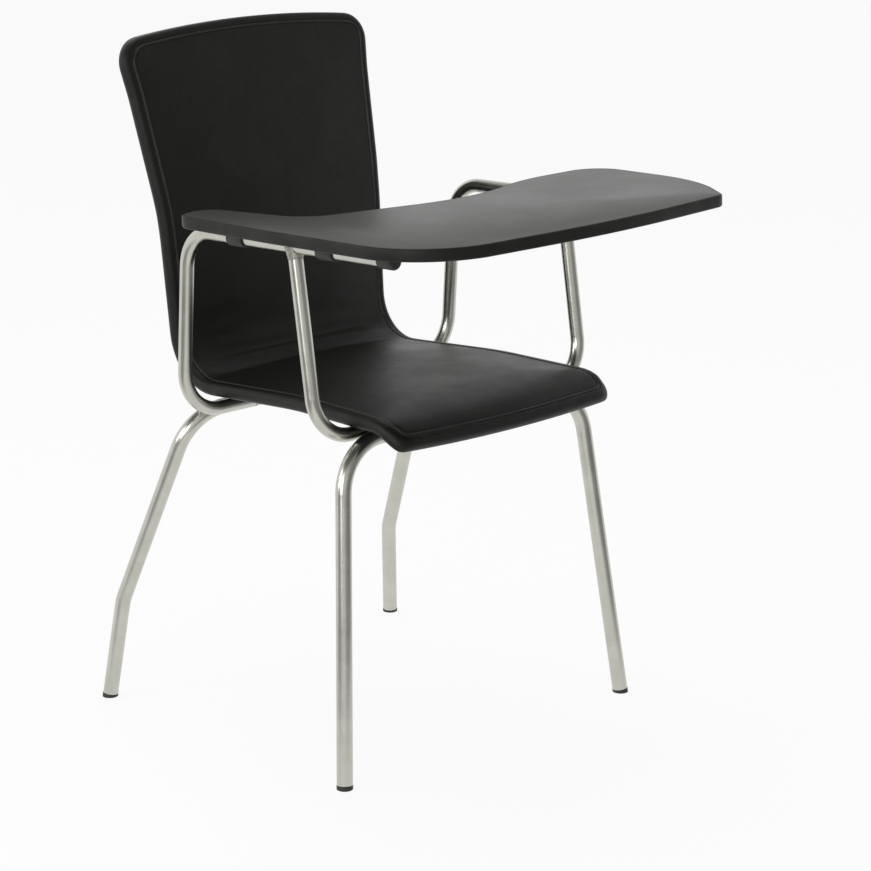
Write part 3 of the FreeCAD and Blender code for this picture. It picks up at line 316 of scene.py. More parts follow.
def tablet_edging():
    """Black edging with a soft texture and a slightly polished crest."""
    finish = Finish("tablet_edging", IOR=1.34)
    texture = finish.noise(1300.0, 3.0, 0.6)
    handled = finish.between(finish.noise(24.0, 3.0, 0.6), 0.4, 0.7)
    colour = finish.mixed(handled, (0.0060, 0.0062, 0.0048), (0.0105, 0.0107, 0.0085))
    relief = finish.bump(texture, 0.0001, 0.4)
    return finish.paint(Base_Color=colour, Roughness=0.44 + texture * 0.12 - handled * 0.08, Normal=relief)


def backing_sheet():
    """Plain black balancing sheet with a light print of the press plate."""
    finish = Finish("backing_sheet", IOR=1.5)
    print_marks = finish.noise(420.0, 3.0, 0.6)
    colour = finish.mixed(finish.noise(12.0, 3.0), (0.020, 0.020, 0.019), (0.034, 0.034, 0.032))
    relief = finish.bump(print_marks, 0.00008, 0.5)
    return finish.paint(Base_Color=colour, Roughness=0.55 + print_marks * 0.12, Normal=relief)


def raw_board():
    """Raw fibreboard: fine fibres and darker flecks."""
    finish = Finish("raw_board")
    fibres = finish.noise(700.0, 5.0, 0.7)
    flecks = finish.between(finish.noise(1600.0, 2.0), 0.62, 0.72)
    colour = finish.mixed(fibres, (0.30, 0.22, 0.15), (0.44, 0.34, 0.24))
    colour = finish.mixed(flecks, colour, (0.20, 0.14, 0.09))
    relief = finish.bump(fibres, 0.0002, 0.5)
    return finish.paint(Base_Color=colour, Roughness=0.82 + fibres * 0.1, Normal=relief)


def beech_ply():
    """Beech plywood: long grain with short dark rays."""
    finish = Finish("beech_ply")
    grain = finish.noise(90.0, 5.0, 0.6, place=finish.stretched((1.0, 0.08, 0.08)))
    dashes = finish.noise(900.0, 2.0, 0.5, place=finish.stretched((1.0, 0.25, 0.25)))
    rays = finish.between(dashes, 0.60, 0.70)
    colour = finish.mixed(grain, (0.52, 0.36, 0.20), (0.68, 0.51, 0.32))
    colour = finish.mixed(rays, colour, (0.40, 0.25, 0.13))
    relief = finish.bump(rays, 0.0001, 0.4)
    return finish.paint(Base_Color=colour, Roughness=0.62 + grain * 0.1, Normal=relief)


LEATHER = leather("black_leather", 1.34, 0.40)
EDGE_LEATHER = leather("stretched_leather", 1.33, 0.34)
WELT_PAINTED_HIGHLIGHT = welt_leather_painted_highlight()
TUBE = plated_tube()
BAR = plated_bar()
WELD = weld_metal()
SCREW = zinc_screw()
PLASTIC = moulded_plastic()
RUBBER = matt_rubber()
LAMINATE = tablet_laminate()
EDGING = tablet_edging()
BACKING = backing_sheet()
BOARD = raw_board()
PLY = beech_ply()

PACKED_FINISHES = {
    "leg_frame_front": TUBE,
    "leg_frame_rear": TUBE,
    "arm_loop_left": TUBE,
    "arm_rail_right": TUBE,
    "arm_post_right": TUBE,
    "shell_core": PLY,
    "seat_tee_nuts": SCREW,
    "tablet_core": BOARD,
    "tablet_backing": BACKING,
}
for node, material in PACKED_FINISHES.items():
    nodes[node].material_slots[0].material = material


# Shared modelling steps
def rounded_corner(before, corner, after, radius, step):
    """Points of the arc that rounds a corner, about a step apart."""
    back = (before - corner).normalized()
    ahead = (after - corner).normalized()
    half = back.angle(ahead) / 2
    centre = corner + (back + ahead).normalized() * (radius / math.sin(half))
    first = corner + back * (radius / math.tan(half)) - centre
    last = corner + ahead * (radius / math.tan(half)) - centre
    turn = math.pi - 2 * half
    count = max(2, math.ceil(radius * turn / step / 2) * 2)
    points = []
    for index in range(count + 1):
        share = index / count
        lean = (first * math.sin((1 - share) * turn) + last * math.sin(share * turn)) / math.sin(turn)
        points.append(centre + lean)
    return points


def run_lengths(points):
    """Distance along a line at each of its points."""
    runs = [0.0]
    for start, end in zip(points, points[1:]):
        runs.append(runs[-1] + (end - start).length)
    return runs


def evenly(points, count):
    """The same line with a given number of equal steps."""
    runs = run_lengths(points)
    spaced = []
    index = 0
    for step in range(count + 1):
        target = runs[-1] * step / count
        while index < len(points) - 2 and runs[index + 1] < target:
            index += 1
        share = (target - runs[index]) / (runs[index + 1] - runs[index])
        spaced.append(points[index].lerp(points[index + 1], min(1.0, share)))
    return spaced


def lerp(table, place):
    """Reads a table of pairs, straight between its rows."""
    for (low, start), (high, end) in zip(table, table[1:]):
        if place <= high:
            return start + (end - start) * max(0.0, (place - low) / (high - low))
    return table[-1][1]


def outward(loop):
    """Directions that point out of a loop drawn to the left."""
    ways = []
    for index, point in enumerate(loop):
        along = loop[(index + 1) % len(loop)] - loop[index - 1]
        ways.append(Vector((along.y, -along.x)).normalized())
    return ways


def only(piece):
    """Selects one piece and makes it active."""
    bpy.ops.object.select_all(action="DESELECT")
    piece.select_set(True)
    bpy.context.view_layer.objects.active = piece


def new_piece(name, points, faces):
    """A mesh piece with its faces turned outwards."""
    mesh = bpy.data.meshes.new(name)
    mesh.from_pydata(points, [], faces)
    piece = bpy.data.objects.new(name, mesh)
    scene.collection.objects.link(piece)
    only(piece)
    bpy.ops.object.mode_set(mode="EDIT")
    bpy.ops.mesh.select_all(action="SELECT")
    bpy.ops.mesh.normals_make_consistent(inside=False)
    bpy.ops.object.mode_set(mode="OBJECT")
    return piece


def apply_all(piece):
    only(piece)
    for modifier in list(piece.modifiers):
        bpy.ops.object.modifier_apply(modifier=modifier.name)


def smooth(piece, angle):
    only(piece)
    bpy.ops.object.shade_smooth_by_angle(angle=math.radians(angle))


def subdivide(piece):
    modifier = piece.modifiers.new("subdivision", "SUBSURF")
    modifier.levels = 1
    modifier.render_levels = 1
    apply_all(piece)


def dress(piece, material, slot, body, *replaced):
    """Gives a piece its finish, its body and the nodes that it stands for; the slot argument is not used.
    """
    piece.data.materials.clear()
    piece.data.materials.append(material)
    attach(piece, body)
    if replaced:
        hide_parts(*replaced)


def band_faces(inner, outer):
    """Faces between two closed rings, given by the numbers of their points."""
    return [(inner[index - 1], inner[index], outer[index], outer[index - 1]) for index in range(len(inner))]


def loop_loft(name, rings):
    """A closed piece that runs round a loop: one ring of points for each corner of its section."""
    count = len(rings[0])
    numbers = [range(start, start + count) for start in range(0, len(rings) * count, count)]
    faces = []
    for index, outer in enumerate(numbers):
        faces += band_faces(numbers[index - 1], outer)
    return new_piece(name, [point for ring in rings for point in ring], faces)


# The shell's face seen from the side, Y to the rear and Z above the front cross tube
FRAME_HEIGHT = 419.5 * MM
NOSE_BACK = -36.0 * MM
SEAT_DEPTH = 419.0 * MM
BACK_RISE = 446.5 * MM
SEAT_HALF = 187.0 * MM
FACE_CORNERS = [
    Vector((-36.0, 13.5)) * MM,
    Vector((0.0, 34.0)) * MM,
    Vector((160.0, 33.0)) * MM,
    Vector((383.0, 16.5)) * MM,
    Vector((402.0, 228.5)) * MM,
    Vector((456.0, 446.5)) * MM,
]
FACE_RADII = [60.0 * MM, 900.0 * MM, 60.0 * MM, 500.0 * MM]
# Place along the seat's depth, then up the back's rise, and the half width there, all as shares
SEAT_WIDTH_SHARES = [(0.0, 0.984), (0.062, 1.0), (0.229, 0.989), (0.468, 0.973), (0.802, 0.960)]
BACK_WIDTH_SHARES = [
    (0.0, 0.960),
    (0.225, 0.976),
    (0.404, 0.989),
    (0.516, 1.0),
    (0.628, 1.024),
    (0.763, 1.052),
    (0.852, 1.071),
    (1.0, 1.124),
]
JOIN_BACK = NOSE_BACK + 0.874 * SEAT_DEPTH
TOP_CROWN = 14.0 * MM
TOP_CORNER = 34.0 * MM
TOP_RISE = 1.5 * MM
NOSE_CROWN = 7.0 * MM
NOSE_CORNER_FACE = 24.0 * MM
NOSE_CORNER_REAR = 9.0 * MM
SHELL_EDGE = 16.0 * MM
FINE_STEP = 1.0 * MM


def face_line():
    points = [FACE_CORNERS[0]]
    for before, corner, after, radius in zip(FACE_CORNERS, FACE_CORNERS[1:], FACE_CORNERS[2:], FACE_RADII):
        points += rounded_corner(before, corner, after, radius, FINE_STEP)
    return points + [FACE_CORNERS[-1]]


FACE = face_line()
FACE_RUNS = run_lengths(FACE)
FACE_LENGTH = FACE_RUNS[-1]


def face_headings():
    headings = []
    for index in range(len(FACE)):
        start = FACE[max(0, index - 1)]
        end = FACE[min(len(FACE) - 1, index + 1)]
        headings.append((end - start).normalized())
    return headings


FACE_HEADINGS = face_headings()


def face_at(run):
    """Place and heading on the shell's face at a distance from the nose, straight on past its ends."""
    if run <= 0.0:
        return FACE[0] + FACE_HEADINGS[0] * run, FACE_HEADINGS[0]
    if run >= FACE_LENGTH:
        return FACE[-1] + FACE_HEADINGS[-1] * (run - FACE_LENGTH), FACE_HEADINGS[-1]
    low, high = 0, len(FACE_RUNS) - 1
    while high - low > 1:
        middle = (low + high) // 2
        if FACE_RUNS[middle] <= run:
            low = middle
        else:
            high = middle
    share = (run - FACE_RUNS[low]) / (FACE_RUNS[high] - FACE_RUNS[low])
    heading = FACE_HEADINGS[low].lerp(FACE_HEADINGS[high], share).normalized()
    return FACE[low].lerp(FACE[high], share), heading


def shell_point(across, run, lift):
    """A point of the shell from its unrolled face: across, along, and out towards the sitter."""
    place, heading = face_at(run)
    out = Vector((-heading.y, heading.x))
    spot = place + out * lift
    return HOME + Vector((across, spot.x, FRAME_HEIGHT + spot.y))


def half_width(run):
    place, _ = face_at(run)
    if place.x < JOIN_BACK:
        return SEAT_HALF * lerp(SEAT_WIDTH_SHARES, (place.x - NOSE_BACK) / SEAT_DEPTH)
    return SEAT_HALF * lerp(BACK_WIDTH_SHARES, place.y / BACK_RISE)


def mirrored(points):
    return [Vector((-point.x, point.y)) for point in reversed(points)]


ACROSS_STEPS = 62
ACROSS_POINTS = ACROSS_STEPS + 1
ALONG_STEPS = 142
SIDE_ROWS = 60
CROWN_ROWS = 24
NOSE_REACH = 8
CORNER_REACH = 5


def outline_loop(nose_corner):
    """The unrolled outline, as four sides between the middles of its rounded corners."""
    nose_half = half_width(0.0)
    top_half = half_width(FACE_LENGTH)
    lean = FACE_HEADINGS[-1].y
    crest = FACE_LENGTH + TOP_CROWN / lean
    side = []
    for row in range(SIDE_ROWS + 1):
        run = FACE_LENGTH * row / SIDE_ROWS
        side.append(Vector((half_width(run), run)))
    crown = []
    for row in range(CROWN_ROWS + 1):
        across = top_half * (1 - row / CROWN_ROWS)
        crown.append(Vector((across, FACE_LENGTH + (crest - FACE_LENGTH) * (1 - (across / top_half) ** 2))))
    nose = []
    for row in range(CROWN_ROWS + 1):
        across = nose_half * row / CROWN_ROWS
        nose.append(Vector((across, -NOSE_CROWN * (1 - (across / nose_half) ** 2))))
    low = rounded_corner(nose[-CORNER_REACH], nose[-1], side[NOSE_REACH], nose_corner, FINE_STEP)
    high = rounded_corner(side[-CORNER_REACH], side[-1], crown[CORNER_REACH], TOP_CORNER, FINE_STEP)
    rising = [point for point in side if low[-1].y + FINE_STEP < point.y < high[0].y - FINE_STEP]
    level = [point for point in crown if point.x < high[-1].x - FINE_STEP]
    lower = [point for point in nose if point.x < low[0].x - FINE_STEP]
    low_middle = len(low) // 2
    high_middle = len(high) // 2
    bottom = lower + low[: low_middle + 1]
    right = low[low_middle:] + rising + high[: high_middle + 1]
    top = high[high_middle:] + level
    sides = [
        evenly(mirrored(bottom) + bottom[1:], ACROSS_STEPS),
        evenly(right, ALONG_STEPS),
        evenly(top + mirrored(top)[1:], ACROSS_STEPS),
        evenly(mirrored(right), ALONG_STEPS),
    ]
    return [point for line in sides for point in line[:-1]]


FACE_LOOP = outline_loop(NOSE_CORNER_FACE)
REAR_LOOP = outline_loop(NOSE_CORNER_REAR)


def inset_loop(inset, lift):
    """The unrolled outline at a height from the face, drawn in or swelled at the sides and nose.

    The rear of the top edge stands a little higher, over the core.
    """
    share = min(1.0, max(0.0, -lift / SHELL_EDGE))
    loop = [face.lerp(rear, share) for face, rear in zip(FACE_LOOP, REAR_LOOP)]
    moved = []
    for point, way in zip(loop, outward(loop)):
        crest = max(0.0, way.y)
        drawn = way * (inset if inset > 0 else inset * (1 - crest))
        moved.append(point - drawn + Vector((0.0, crest * share * TOP_RISE)))
    return moved


def shell_ring(inset, lift):
    """A ring round the shell at a distance in from its outline and out from its face."""
    return [shell_point(point.x, point.y, lift) for point in inset_loop(inset, lift)]


def inner_grid(inset):
    """Rows of unrolled points that fill the outline once it is drawn in."""
    loop = inset_loop(inset, 0.0)
    loop.append(loop[0])
    bottom = loop[:ACROSS_POINTS]
    right = loop[ACROSS_STEPS : ACROSS_STEPS + ALONG_STEPS + 1]
    top = loop[ACROSS_STEPS + ALONG_STEPS : 2 * ACROSS_STEPS + ALONG_STEPS + 1][::-1]
    left = loop[2 * ACROSS_STEPS + ALONG_STEPS :][::-1]
    rows = []
    for row in range(ALONG_STEPS + 1):
        up = row / ALONG_STEPS
        line = []
        for column in range(ACROSS_POINTS):
            over = column / ACROSS_STEPS
            edges = bottom[column].lerp(top[column], up) + left[row].lerp(right[row], over)
            corners = bottom[0].lerp(bottom[-1], over).lerp(top[0].lerp(top[-1], over), up)
            line.append(edges - corners)
        rows.append(line)
    return rows


def grid_edge():
    """Numbers of a grid's outer points, in the outline's order."""
    last = ALONG_STEPS * ACROSS_POINTS
    bottom = list(range(ACROSS_POINTS))
    right = [row * ACROSS_POINTS + ACROSS_STEPS for row in range(1, ALONG_STEPS + 1)]
    top = [last + column for column in range(ACROSS_STEPS - 1, -1, -1)]
    left = [row * ACROSS_POINTS for row in range(ALONG_STEPS - 1, 0, -1)]
    return bottom + right + top + left


def shell_panel(name, inset, face_lift, base_lift, rim):
    """A closed panel: a face, its rolled rim given as pairs of inset and lift, and a plain base."""
    grid = inner_grid(inset)
    points = []
    faces = []
    for row, line in enumerate(grid):
        for column, spot in enumerate(line):
            height = face_lift(column / ACROSS_STEPS, row / ALONG_STEPS, spot.y)
            points.append(shell_point(spot.x, spot.y, height))
    count = len(points)
    points += [shell_point(spot.x, spot.y, base_lift) for line in grid for spot in line]
    for start in (0, count):
        for row in range(ALONG_STEPS):
            for column in range(ACROSS_STEPS):
                corner = start + row * ACROSS_POINTS + column
                above = corner + ACROSS_POINTS
                faces.append((corner, corner + 1, above + 1, above))
    edge = grid_edge()
    before = edge
    for ring_inset, ring_lift in rim:
        start = len(points)
        points += shell_ring(ring_inset, ring_lift)
        ring = list(range(start, start + len(edge)))
        faces += band_faces(before, ring)
        before = ring
    faces += band_faces(before, [count + number for number in edge])
    return new_piece(name, points, faces)


# Upholstery: front panel, boxed edge, rear panel and the piping in both seams
# Place along the face and the front panel's crown there, both as shares
CROWN_SHARES = [
    (0.0, 0.25),
    (0.06, 0.7),
    (0.16, 1.0),
    (0.40, 0.75),
    (0.50, 0.6),
    (0.62, 1.0),
    (0.93, 0.9),
    (1.0, 0.5),
]
FRONT_CROWN = 3.0 * MM
FRONT_LIFT = 1.5 * MM
FRONT_SEAM = 11.4 * MM
FRONT_GRID_INSET = 18.0 * MM
FRONT_BASE = -4.9 * MM
REAR_SEAM = 3.2 * MM
REAR_GRID_INSET = 9.0 * MM
REAR_BASE = -14.6 * MM
REAR_LIFT = -16.0 * MM
REAR_CROWN = 1.6 * MM
BEND_RUN = 0.45
BEND_FADE = 4.0
FRONT_RIM = [
    (16.0 * MM, 1.3 * MM),
    (14.0 * MM, 1.0 * MM),
    (12.6 * MM, 0.3 * MM),
    (11.8 * MM, -0.8 * MM),
    (FRONT_SEAM, -2.0 * MM),
    (FRONT_SEAM, FRONT_BASE),
]
REAR_RIM = [
    (6.4 * MM, -16.0 * MM),
    (4.6 * MM, -15.9 * MM),
    (3.6 * MM, -15.5 * MM),
    (REAR_SEAM, REAR_BASE),
]
SOFT_ANGLE = 60.0
PIPING_SIDES = 8
PUFF_FRAMES = 20
PUFF_QUALITY = 4
PUFF_PRESSURE = 4.0
PUFF_LIMIT = 4.0 * MM


def bulge(share, power):
    """One in the middle and zero at both ends, the flatter the higher the power."""
    return 1 - abs(2 * share - 1) ** power


def front_face(over, up, run):
    crown = FRONT_CROWN * lerp(CROWN_SHARES, run / FACE_LENGTH)
    return FRONT_LIFT + crown * bulge(over, 2) * bulge(up, 8)


def rear_face(over, up, run):
    on_back = min(1.0, max(0.0, (run / FACE_LENGTH - BEND_RUN) / (1 - BEND_RUN) * BEND_FADE))
    return REAR_LIFT - REAR_CROWN * on_back * bulge(over, 4) * bulge(up, 8)


def puffed(piece, free, limit):
    """Lets a closed pad swell as stuffed cloth, with all but its free points held."""
    start = [vertex.co.copy() for vertex in piece.data.vertices]
    held = piece.vertex_groups.new(name="held")
    held.add([index for index in range(len(start)) if index not in free], 1.0, "REPLACE")
    cloth = piece.modifiers.new("puff", "CLOTH")
    cloth.settings.vertex_group_mass = "held"
    cloth.settings.use_pressure = True
    cloth.settings.uniform_pressure_force = PUFF_PRESSURE
    cloth.settings.effector_weights.gravity = 0.0
    cloth.settings.quality = PUFF_QUALITY
    cloth.point_cache.frame_start = 1
    cloth.point_cache.frame_end = PUFF_FRAMES
    for number in range(1, PUFF_FRAMES + 1):
        scene.frame_set(number)
    apply_all(piece)
    scene.frame_set(1)
    for vertex, place in zip(piece.data.vertices, start):
        shift = vertex.co - place
        if shift.length > limit:
            vertex.co = place + shift.normalized() * limit
    piece.vertex_groups.clear()


def make_front_panel():
    panel = shell_panel("seat_and_back_panel", FRONT_GRID_INSET, front_face, FRONT_BASE, FRONT_RIM)
    free = set(range(ACROSS_POINTS * (ALONG_STEPS + 1))) - set(grid_edge())
    puffed(panel, free, PUFF_LIMIT)
    subdivide(panel)
    smooth(panel, SOFT_ANGLE)
    dress(panel, LEATHER, "black_leather", "root", "cushion_front")


def make_rear_panel():
    panel = shell_panel("back_and_underside_panel", REAR_GRID_INSET, rear_face, REAR_BASE, REAR_RIM)
    subdivide(panel)
    smooth(panel, SOFT_ANGLE)
    dress(panel, LEATHER, "black_leather", "root", "cushion_rear")


# The boxed edge's section: inset and lift in millimetres, outside first
BOX_SECTION = [
    (11.2, -2.0),
    (10.9, -0.3),
    (9.9, 0.8),
    (8.0, 1.3),
    (5.4, 1.1),
    (2.8, 0.2),
    (0.4, -1.6),
    (-1.4, -4.2),
    (-2.4, -7.4),
    (-2.5, -10.4),
    (-1.9, -13.2),
    (-0.6, -15.4),
    (1.4, -16.5),
    (3.0, -16.5),
    (3.2, -15.4),
    (2.7, -13.6),
    (2.7, -6.0),
    (3.4, -5.1),
    (10.6, -5.0),
    (11.2, -4.4),
]


def make_boxed_edge():
    edge = loop_loft("boxed_edge", [shell_ring(inset * MM, lift * MM) for inset, lift in BOX_SECTION])
    subdivide(edge)
    smooth(edge, SOFT_ANGLE)
    dress(edge, EDGE_LEATHER, "black_leather", "root")


def make_piping(name, inset, lift, radius):
    rings = []
    for index in range(PIPING_SIDES):
        turn = 2 * math.pi * index / PIPING_SIDES
        rings.append(shell_ring(inset + radius * math.cos(turn), lift + radius * math.sin(turn)))
    piping = loop_loft(name, rings)
    subdivide(piping)
    smooth(piping, SOFT_ANGLE)
    # The piping's finish paints a highlight along its ridge.
    dress(piping, WELT_PAINTED_HIGHLIGHT, "black_leather", "root")


make_front_panel()
make_rear_panel()
make_boxed_edge()
make_piping("front_piping", 11.6 * MM, 0.1 * MM, 1.9 * MM)
make_piping("rear_piping", 3.1 * MM, -15.9 * MM, 1.0 * MM)


# Tablet, in the rail's frame: X towards the sitter, Y to the rear along the rail, Z up from it
TABLET_WIDTH = 602.0 * MM
TABLET_DEPTH = 474.0 * MM
TABLET_OUTBOARD = 75.0 * MM
TABLET_FRONT = -216.0 * MM - RAIL_PLACE.y
TABLET_BASE = 16.2 * MM
TABLET_THICKNESS = 15.5 * MM
TABLET_STEP = 3.0 * MM
TABLET_RIM = 3.0 * MM
RIM_TOP_BEND = 2.2 * MM
RIM_LOW_BEND = 2.7 * MM
JOINT_LINE = 0.06 * MM
LAMINATE_THICKNESS = 1.0 * MM
LAMINATE_EASE = 0.35 * MM
TOLERANCE = 0.05 * MM
TINY = 0.001 * MM
# Corners of the outline: across and back as shares of its sides, and the radius as a share of its width
TABLET_SHARES = [
    (0.020, 0.979, 0.052),
    (0.116, 1.0, 0.048),
    (0.156, 0.667, 0.091),
    (0.5415, 0.557, 0.460),
    (0.7575, 0.667, 0.460),
    (1.0, 0.675, 0.075),
    (0.9767, 0.2658, 0.432),
    (0.8605, 0.0549, 0.0365),
    (0.5083, 0.0, 2.326),
    (0.0, 0.0253, 0.1744),
    (0.005, 0.5823, 1.495),
]


def tablet_loop():
    """The tablet's outline, drawn to the left."""
    corners = []
    for over, back, _ in TABLET_SHARES:
        corners.append(Vector((-TABLET_OUTBOARD + TABLET_WIDTH * over, TABLET_FRONT + TABLET_DEPTH * back)))
    points = []
    for index, (_, _, share) in enumerate(TABLET_SHARES):
        after = corners[(index + 1) % len(corners)]
        radius = TABLET_WIDTH * share
        points += rounded_corner(corners[index - 1], corners[index], after, radius, TABLET_STEP)
    points.append(points[0])
    count = round(run_lengths(points)[-1] / TABLET_STEP)
    return evenly(points, count)[:-1][::-1]


TABLET_LOOP = tablet_loop()
TABLET_WAYS = outward(TABLET_LOOP)


def tablet_ring(name, inset, height, fill="NOTHING"):
    """The tablet's outline drawn in by an inset, at a height above its underside."""
    bpy.ops.mesh.primitive_circle_add(vertices=len(TABLET_LOOP), radius=TABLET_WIDTH / 2, fill_type=fill)
    ring = bpy.context.object
    ring.name = name
    for vertex, point, way in zip(ring.data.vertices, TABLET_LOOP, TABLET_WAYS):
        spot = point - way * inset
        vertex.co = RAIL_FRAME @ Vector((spot.x, spot.y, TABLET_BASE + height))
    return ring


def choose_edges(piece, wanted):
    """Selects the edges that pass a test, in edit mode."""
    bpy.ops.mesh.select_mode(type="EDGE")
    bpy.ops.mesh.select_all(action="DESELECT")
    shape = bmesh.from_edit_mesh(piece.data)
    for edge in shape.edges:
        if wanted(edge):
            edge.select_set(True)
    bmesh.update_edit_mesh(piece.data)


def at_height(edge, height):
    """Whether an edge lies level at a height above the tablet's underside."""
    spots = [RAIL_FRAME.inverted() @ corner.co for corner in edge.verts]
    return all(abs(spot.z - TABLET_BASE - height) < TOLERANCE for spot in spots)


def raised(distance):
    """Extrudes what is selected square to the tablet."""
    up = RAIL_FRAME.to_3x3() @ Vector((0.0, 0.0, distance))
    bpy.ops.mesh.extrude_region_move(TRANSFORM_OT_translate={"value": up})


def finished(piece):
    """Leaves edit mode with every face turned outwards."""
    bpy.ops.mesh.select_all(action="SELECT")
    bpy.ops.mesh.remove_doubles(threshold=TINY)
    bpy.ops.mesh.normals_make_consistent(inside=False)
    bpy.ops.object.mode_set(mode="OBJECT")


def make_tablet_rim():
    """The edging: a ring with a rounded top and a rounder underside."""
    inner = tablet_ring("tablet_edging", TABLET_RIM - JOINT_LINE, 0.0)
    outer = tablet_ring("outer_line", 0.0, 0.0)
    outer.select_set(True)
    inner.select_set(True)
    bpy.context.view_layer.objects.active = inner
    bpy.ops.object.join()
    bpy.ops.object.mode_set(mode="EDIT")
    bpy.ops.mesh.select_all(action="SELECT")
    bpy.ops.mesh.bridge_edge_loops()
    bpy.ops.mesh.select_all(action="SELECT")
    raised(TABLET_THICKNESS)
    outline = KDTree(len(TABLET_LOOP))
    for index, point in enumerate(TABLET_LOOP):
        outline.insert((point.x, point.y, 0.0), index)
    outline.balance()

    def on_outline(edge, height):
        if not at_height(edge, height):
            return False
        spots = [RAIL_FRAME.inverted() @ corner.co for corner in edge.verts]
        return all(outline.find((spot.x, spot.y, 0.0))[2] < TOLERANCE for spot in spots)

    for height, width in ((TABLET_THICKNESS, RIM_TOP_BEND), (0.0, RIM_LOW_BEND)):
        choose_edges(inner, lambda edge: on_outline(edge, height))
        bpy.ops.mesh.bevel(offset=width, segments=4, profile=0.5)
    finished(inner)
    smooth(inner, 50.0)
    dress(inner, EDGING, "tablet_edge_band", "tablet", "tablet_edge")


def make_tablet_surface():
    """The laminate: a plate with an eased edge, set in the edging."""
    base = TABLET_THICKNESS - LAMINATE_THICKNESS
    surface = tablet_ring("writing_surface", TABLET_RIM + JOINT_LINE, base, fill="NGON")
    bpy.ops.object.mode_set(mode="EDIT")
    bpy.ops.mesh.select_all(action="SELECT")
    raised(LAMINATE_THICKNESS)
    choose_edges(surface, lambda edge: at_height(edge, TABLET_THICKNESS))
    bpy.ops.mesh.bevel(offset=LAMINATE_EASE, segments=2, profile=0.5)
    finished(surface)
    smooth(surface, 25.0)
    dress(surface, LAMINATE, "tablet_laminate", "tablet", "tablet_top")


make_tablet_rim()
make_tablet_surface()


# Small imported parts, copied and eased along their sharp edges
MERGE = 0.01 * MM
FINE_MERGE = 0.005 * MM
FLAT_ANGLE = math.radians(1.0)
EASED_ANGLE = math.radians(40.0)
HEAD_SHARE = 0.8
SLOT_LENGTH = 0.56
SLOT_WIDTH = 0.14
# Turn of each slot of a cross recess, and its cutter's height over its depth: unlike, so no faces meet
SLOTS = [(0.0, 2.0), (math.pi / 2, 1.9)]


def merged_copy(node, name):
    """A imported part's mesh as a piece of its own, with its corners joined."""
    piece = bpy.data.objects.new(name, nodes[node].data.copy())
    piece.matrix_world = nodes[node].matrix_world
    scene.collection.objects.link(piece)
    only(piece)
    bpy.ops.object.transform_apply(location=True, rotation=True, scale=True)
    bpy.ops.object.mode_set(mode="EDIT")
    bpy.ops.mesh.select_all(action="SELECT")
    bpy.ops.mesh.customdata_custom_splitnormals_clear()
    bpy.ops.mesh.remove_doubles(threshold=MERGE)
    bpy.ops.mesh.dissolve_limited(angle_limit=FLAT_ANGLE)
    bpy.ops.object.mode_set(mode="OBJECT")
    return piece


def bevelled(piece, width):
    bevel = piece.modifiers.new("eased", "BEVEL")
    bevel.width = width
    bevel.segments = 2
    bevel.limit_method = "ANGLE"
    bevel.angle_limit = EASED_ANGLE
    apply_all(piece)
    smooth(piece, 35.0)


def eased(node, name, width, material, slot, body):
    piece = merged_copy(node, name)
    bevelled(piece, width)
    dress(piece, material, slot, body, node)


def recessed_screws(node, name, width, body, head_width, recess_depth):
    """Screws with a cross recess cut into each head."""
    piece = merged_copy(node, name)
    least = HEAD_SHARE * math.pi * (head_width / 2) ** 2
    heads = [(face.center.copy(), face.normal.copy()) for face in piece.data.polygons if face.area > least]
    for centre, normal in heads:
        head = Matrix.Translation(centre) @ normal.to_track_quat("Z", "Y").to_matrix().to_4x4()
        for turn, reach in SLOTS:
            bpy.ops.mesh.primitive_cube_add(size=1.0)
            cutter = bpy.context.object
            sides = (head_width * SLOT_LENGTH, head_width * SLOT_WIDTH, recess_depth * reach, 1.0)
            cutter.matrix_world = head @ Matrix.Rotation(turn, 4, "Z") @ Matrix.Diagonal(sides)
            only(cutter)
            bpy.ops.object.transform_apply(location=True, rotation=True, scale=True)
            cut = piece.modifiers.new("recess", "BOOLEAN")
            cut.object = cutter
            cut.solver = "EXACT"
            apply_all(piece)
            bpy.data.objects.remove(cutter)
    bevelled(piece, width)
    only(piece)
    bpy.ops.object.mode_set(mode="EDIT")
    bpy.ops.mesh.select_all(action="SELECT")
    bpy.ops.mesh.remove_doubles(threshold=FINE_MERGE)
    bpy.ops.mesh.fill_holes(sides=0)
    bpy.ops.mesh.normals_make_consistent(inside=False)
    bpy.ops.object.mode_set(mode="OBJECT")
    dress(piece, SCREW, "screw_steel", body, node)


def drop_crumbs(piece, least):
    """Deletes the crumbs, islands of fewer points than a number, that a remesh leaves."""
    only(piece)
    bpy.ops.object.mode_set(mode="EDIT")
    bpy.ops.mesh.select_mode(type="VERT")
    bpy.ops.mesh.select_all(action="DESELECT")
    shape = bmesh.from_edit_mesh(piece.data)
    shape.verts.index_update()
    seen = set()
    for start in shape.verts:
        if start.index in seen:
            continue
        seen.add(start.index)
        island = [start]
        for corner in island:
            for edge in corner.link_edges:
                other = edge.other_vert(corner)
                if other.index not in seen:
                    seen.add(other.index)
                    island.append(other)
        if len(island) < least:
            for corner in island:
                corner.select_set(True)
    bmesh.update_edit_mesh(piece.data)
    bpy.ops.mesh.delete(type="VERT")
    bpy.ops.object.mode_set(mode="OBJECT")


WELD_GRAIN = 0.5 * MM
CRUMB_POINTS = 100
RIPPLE_SIZE = 3.0 * MM
RIPPLE_HEIGHT = 0.7 * MM
RIPPLE_MIDDLE = 0.6


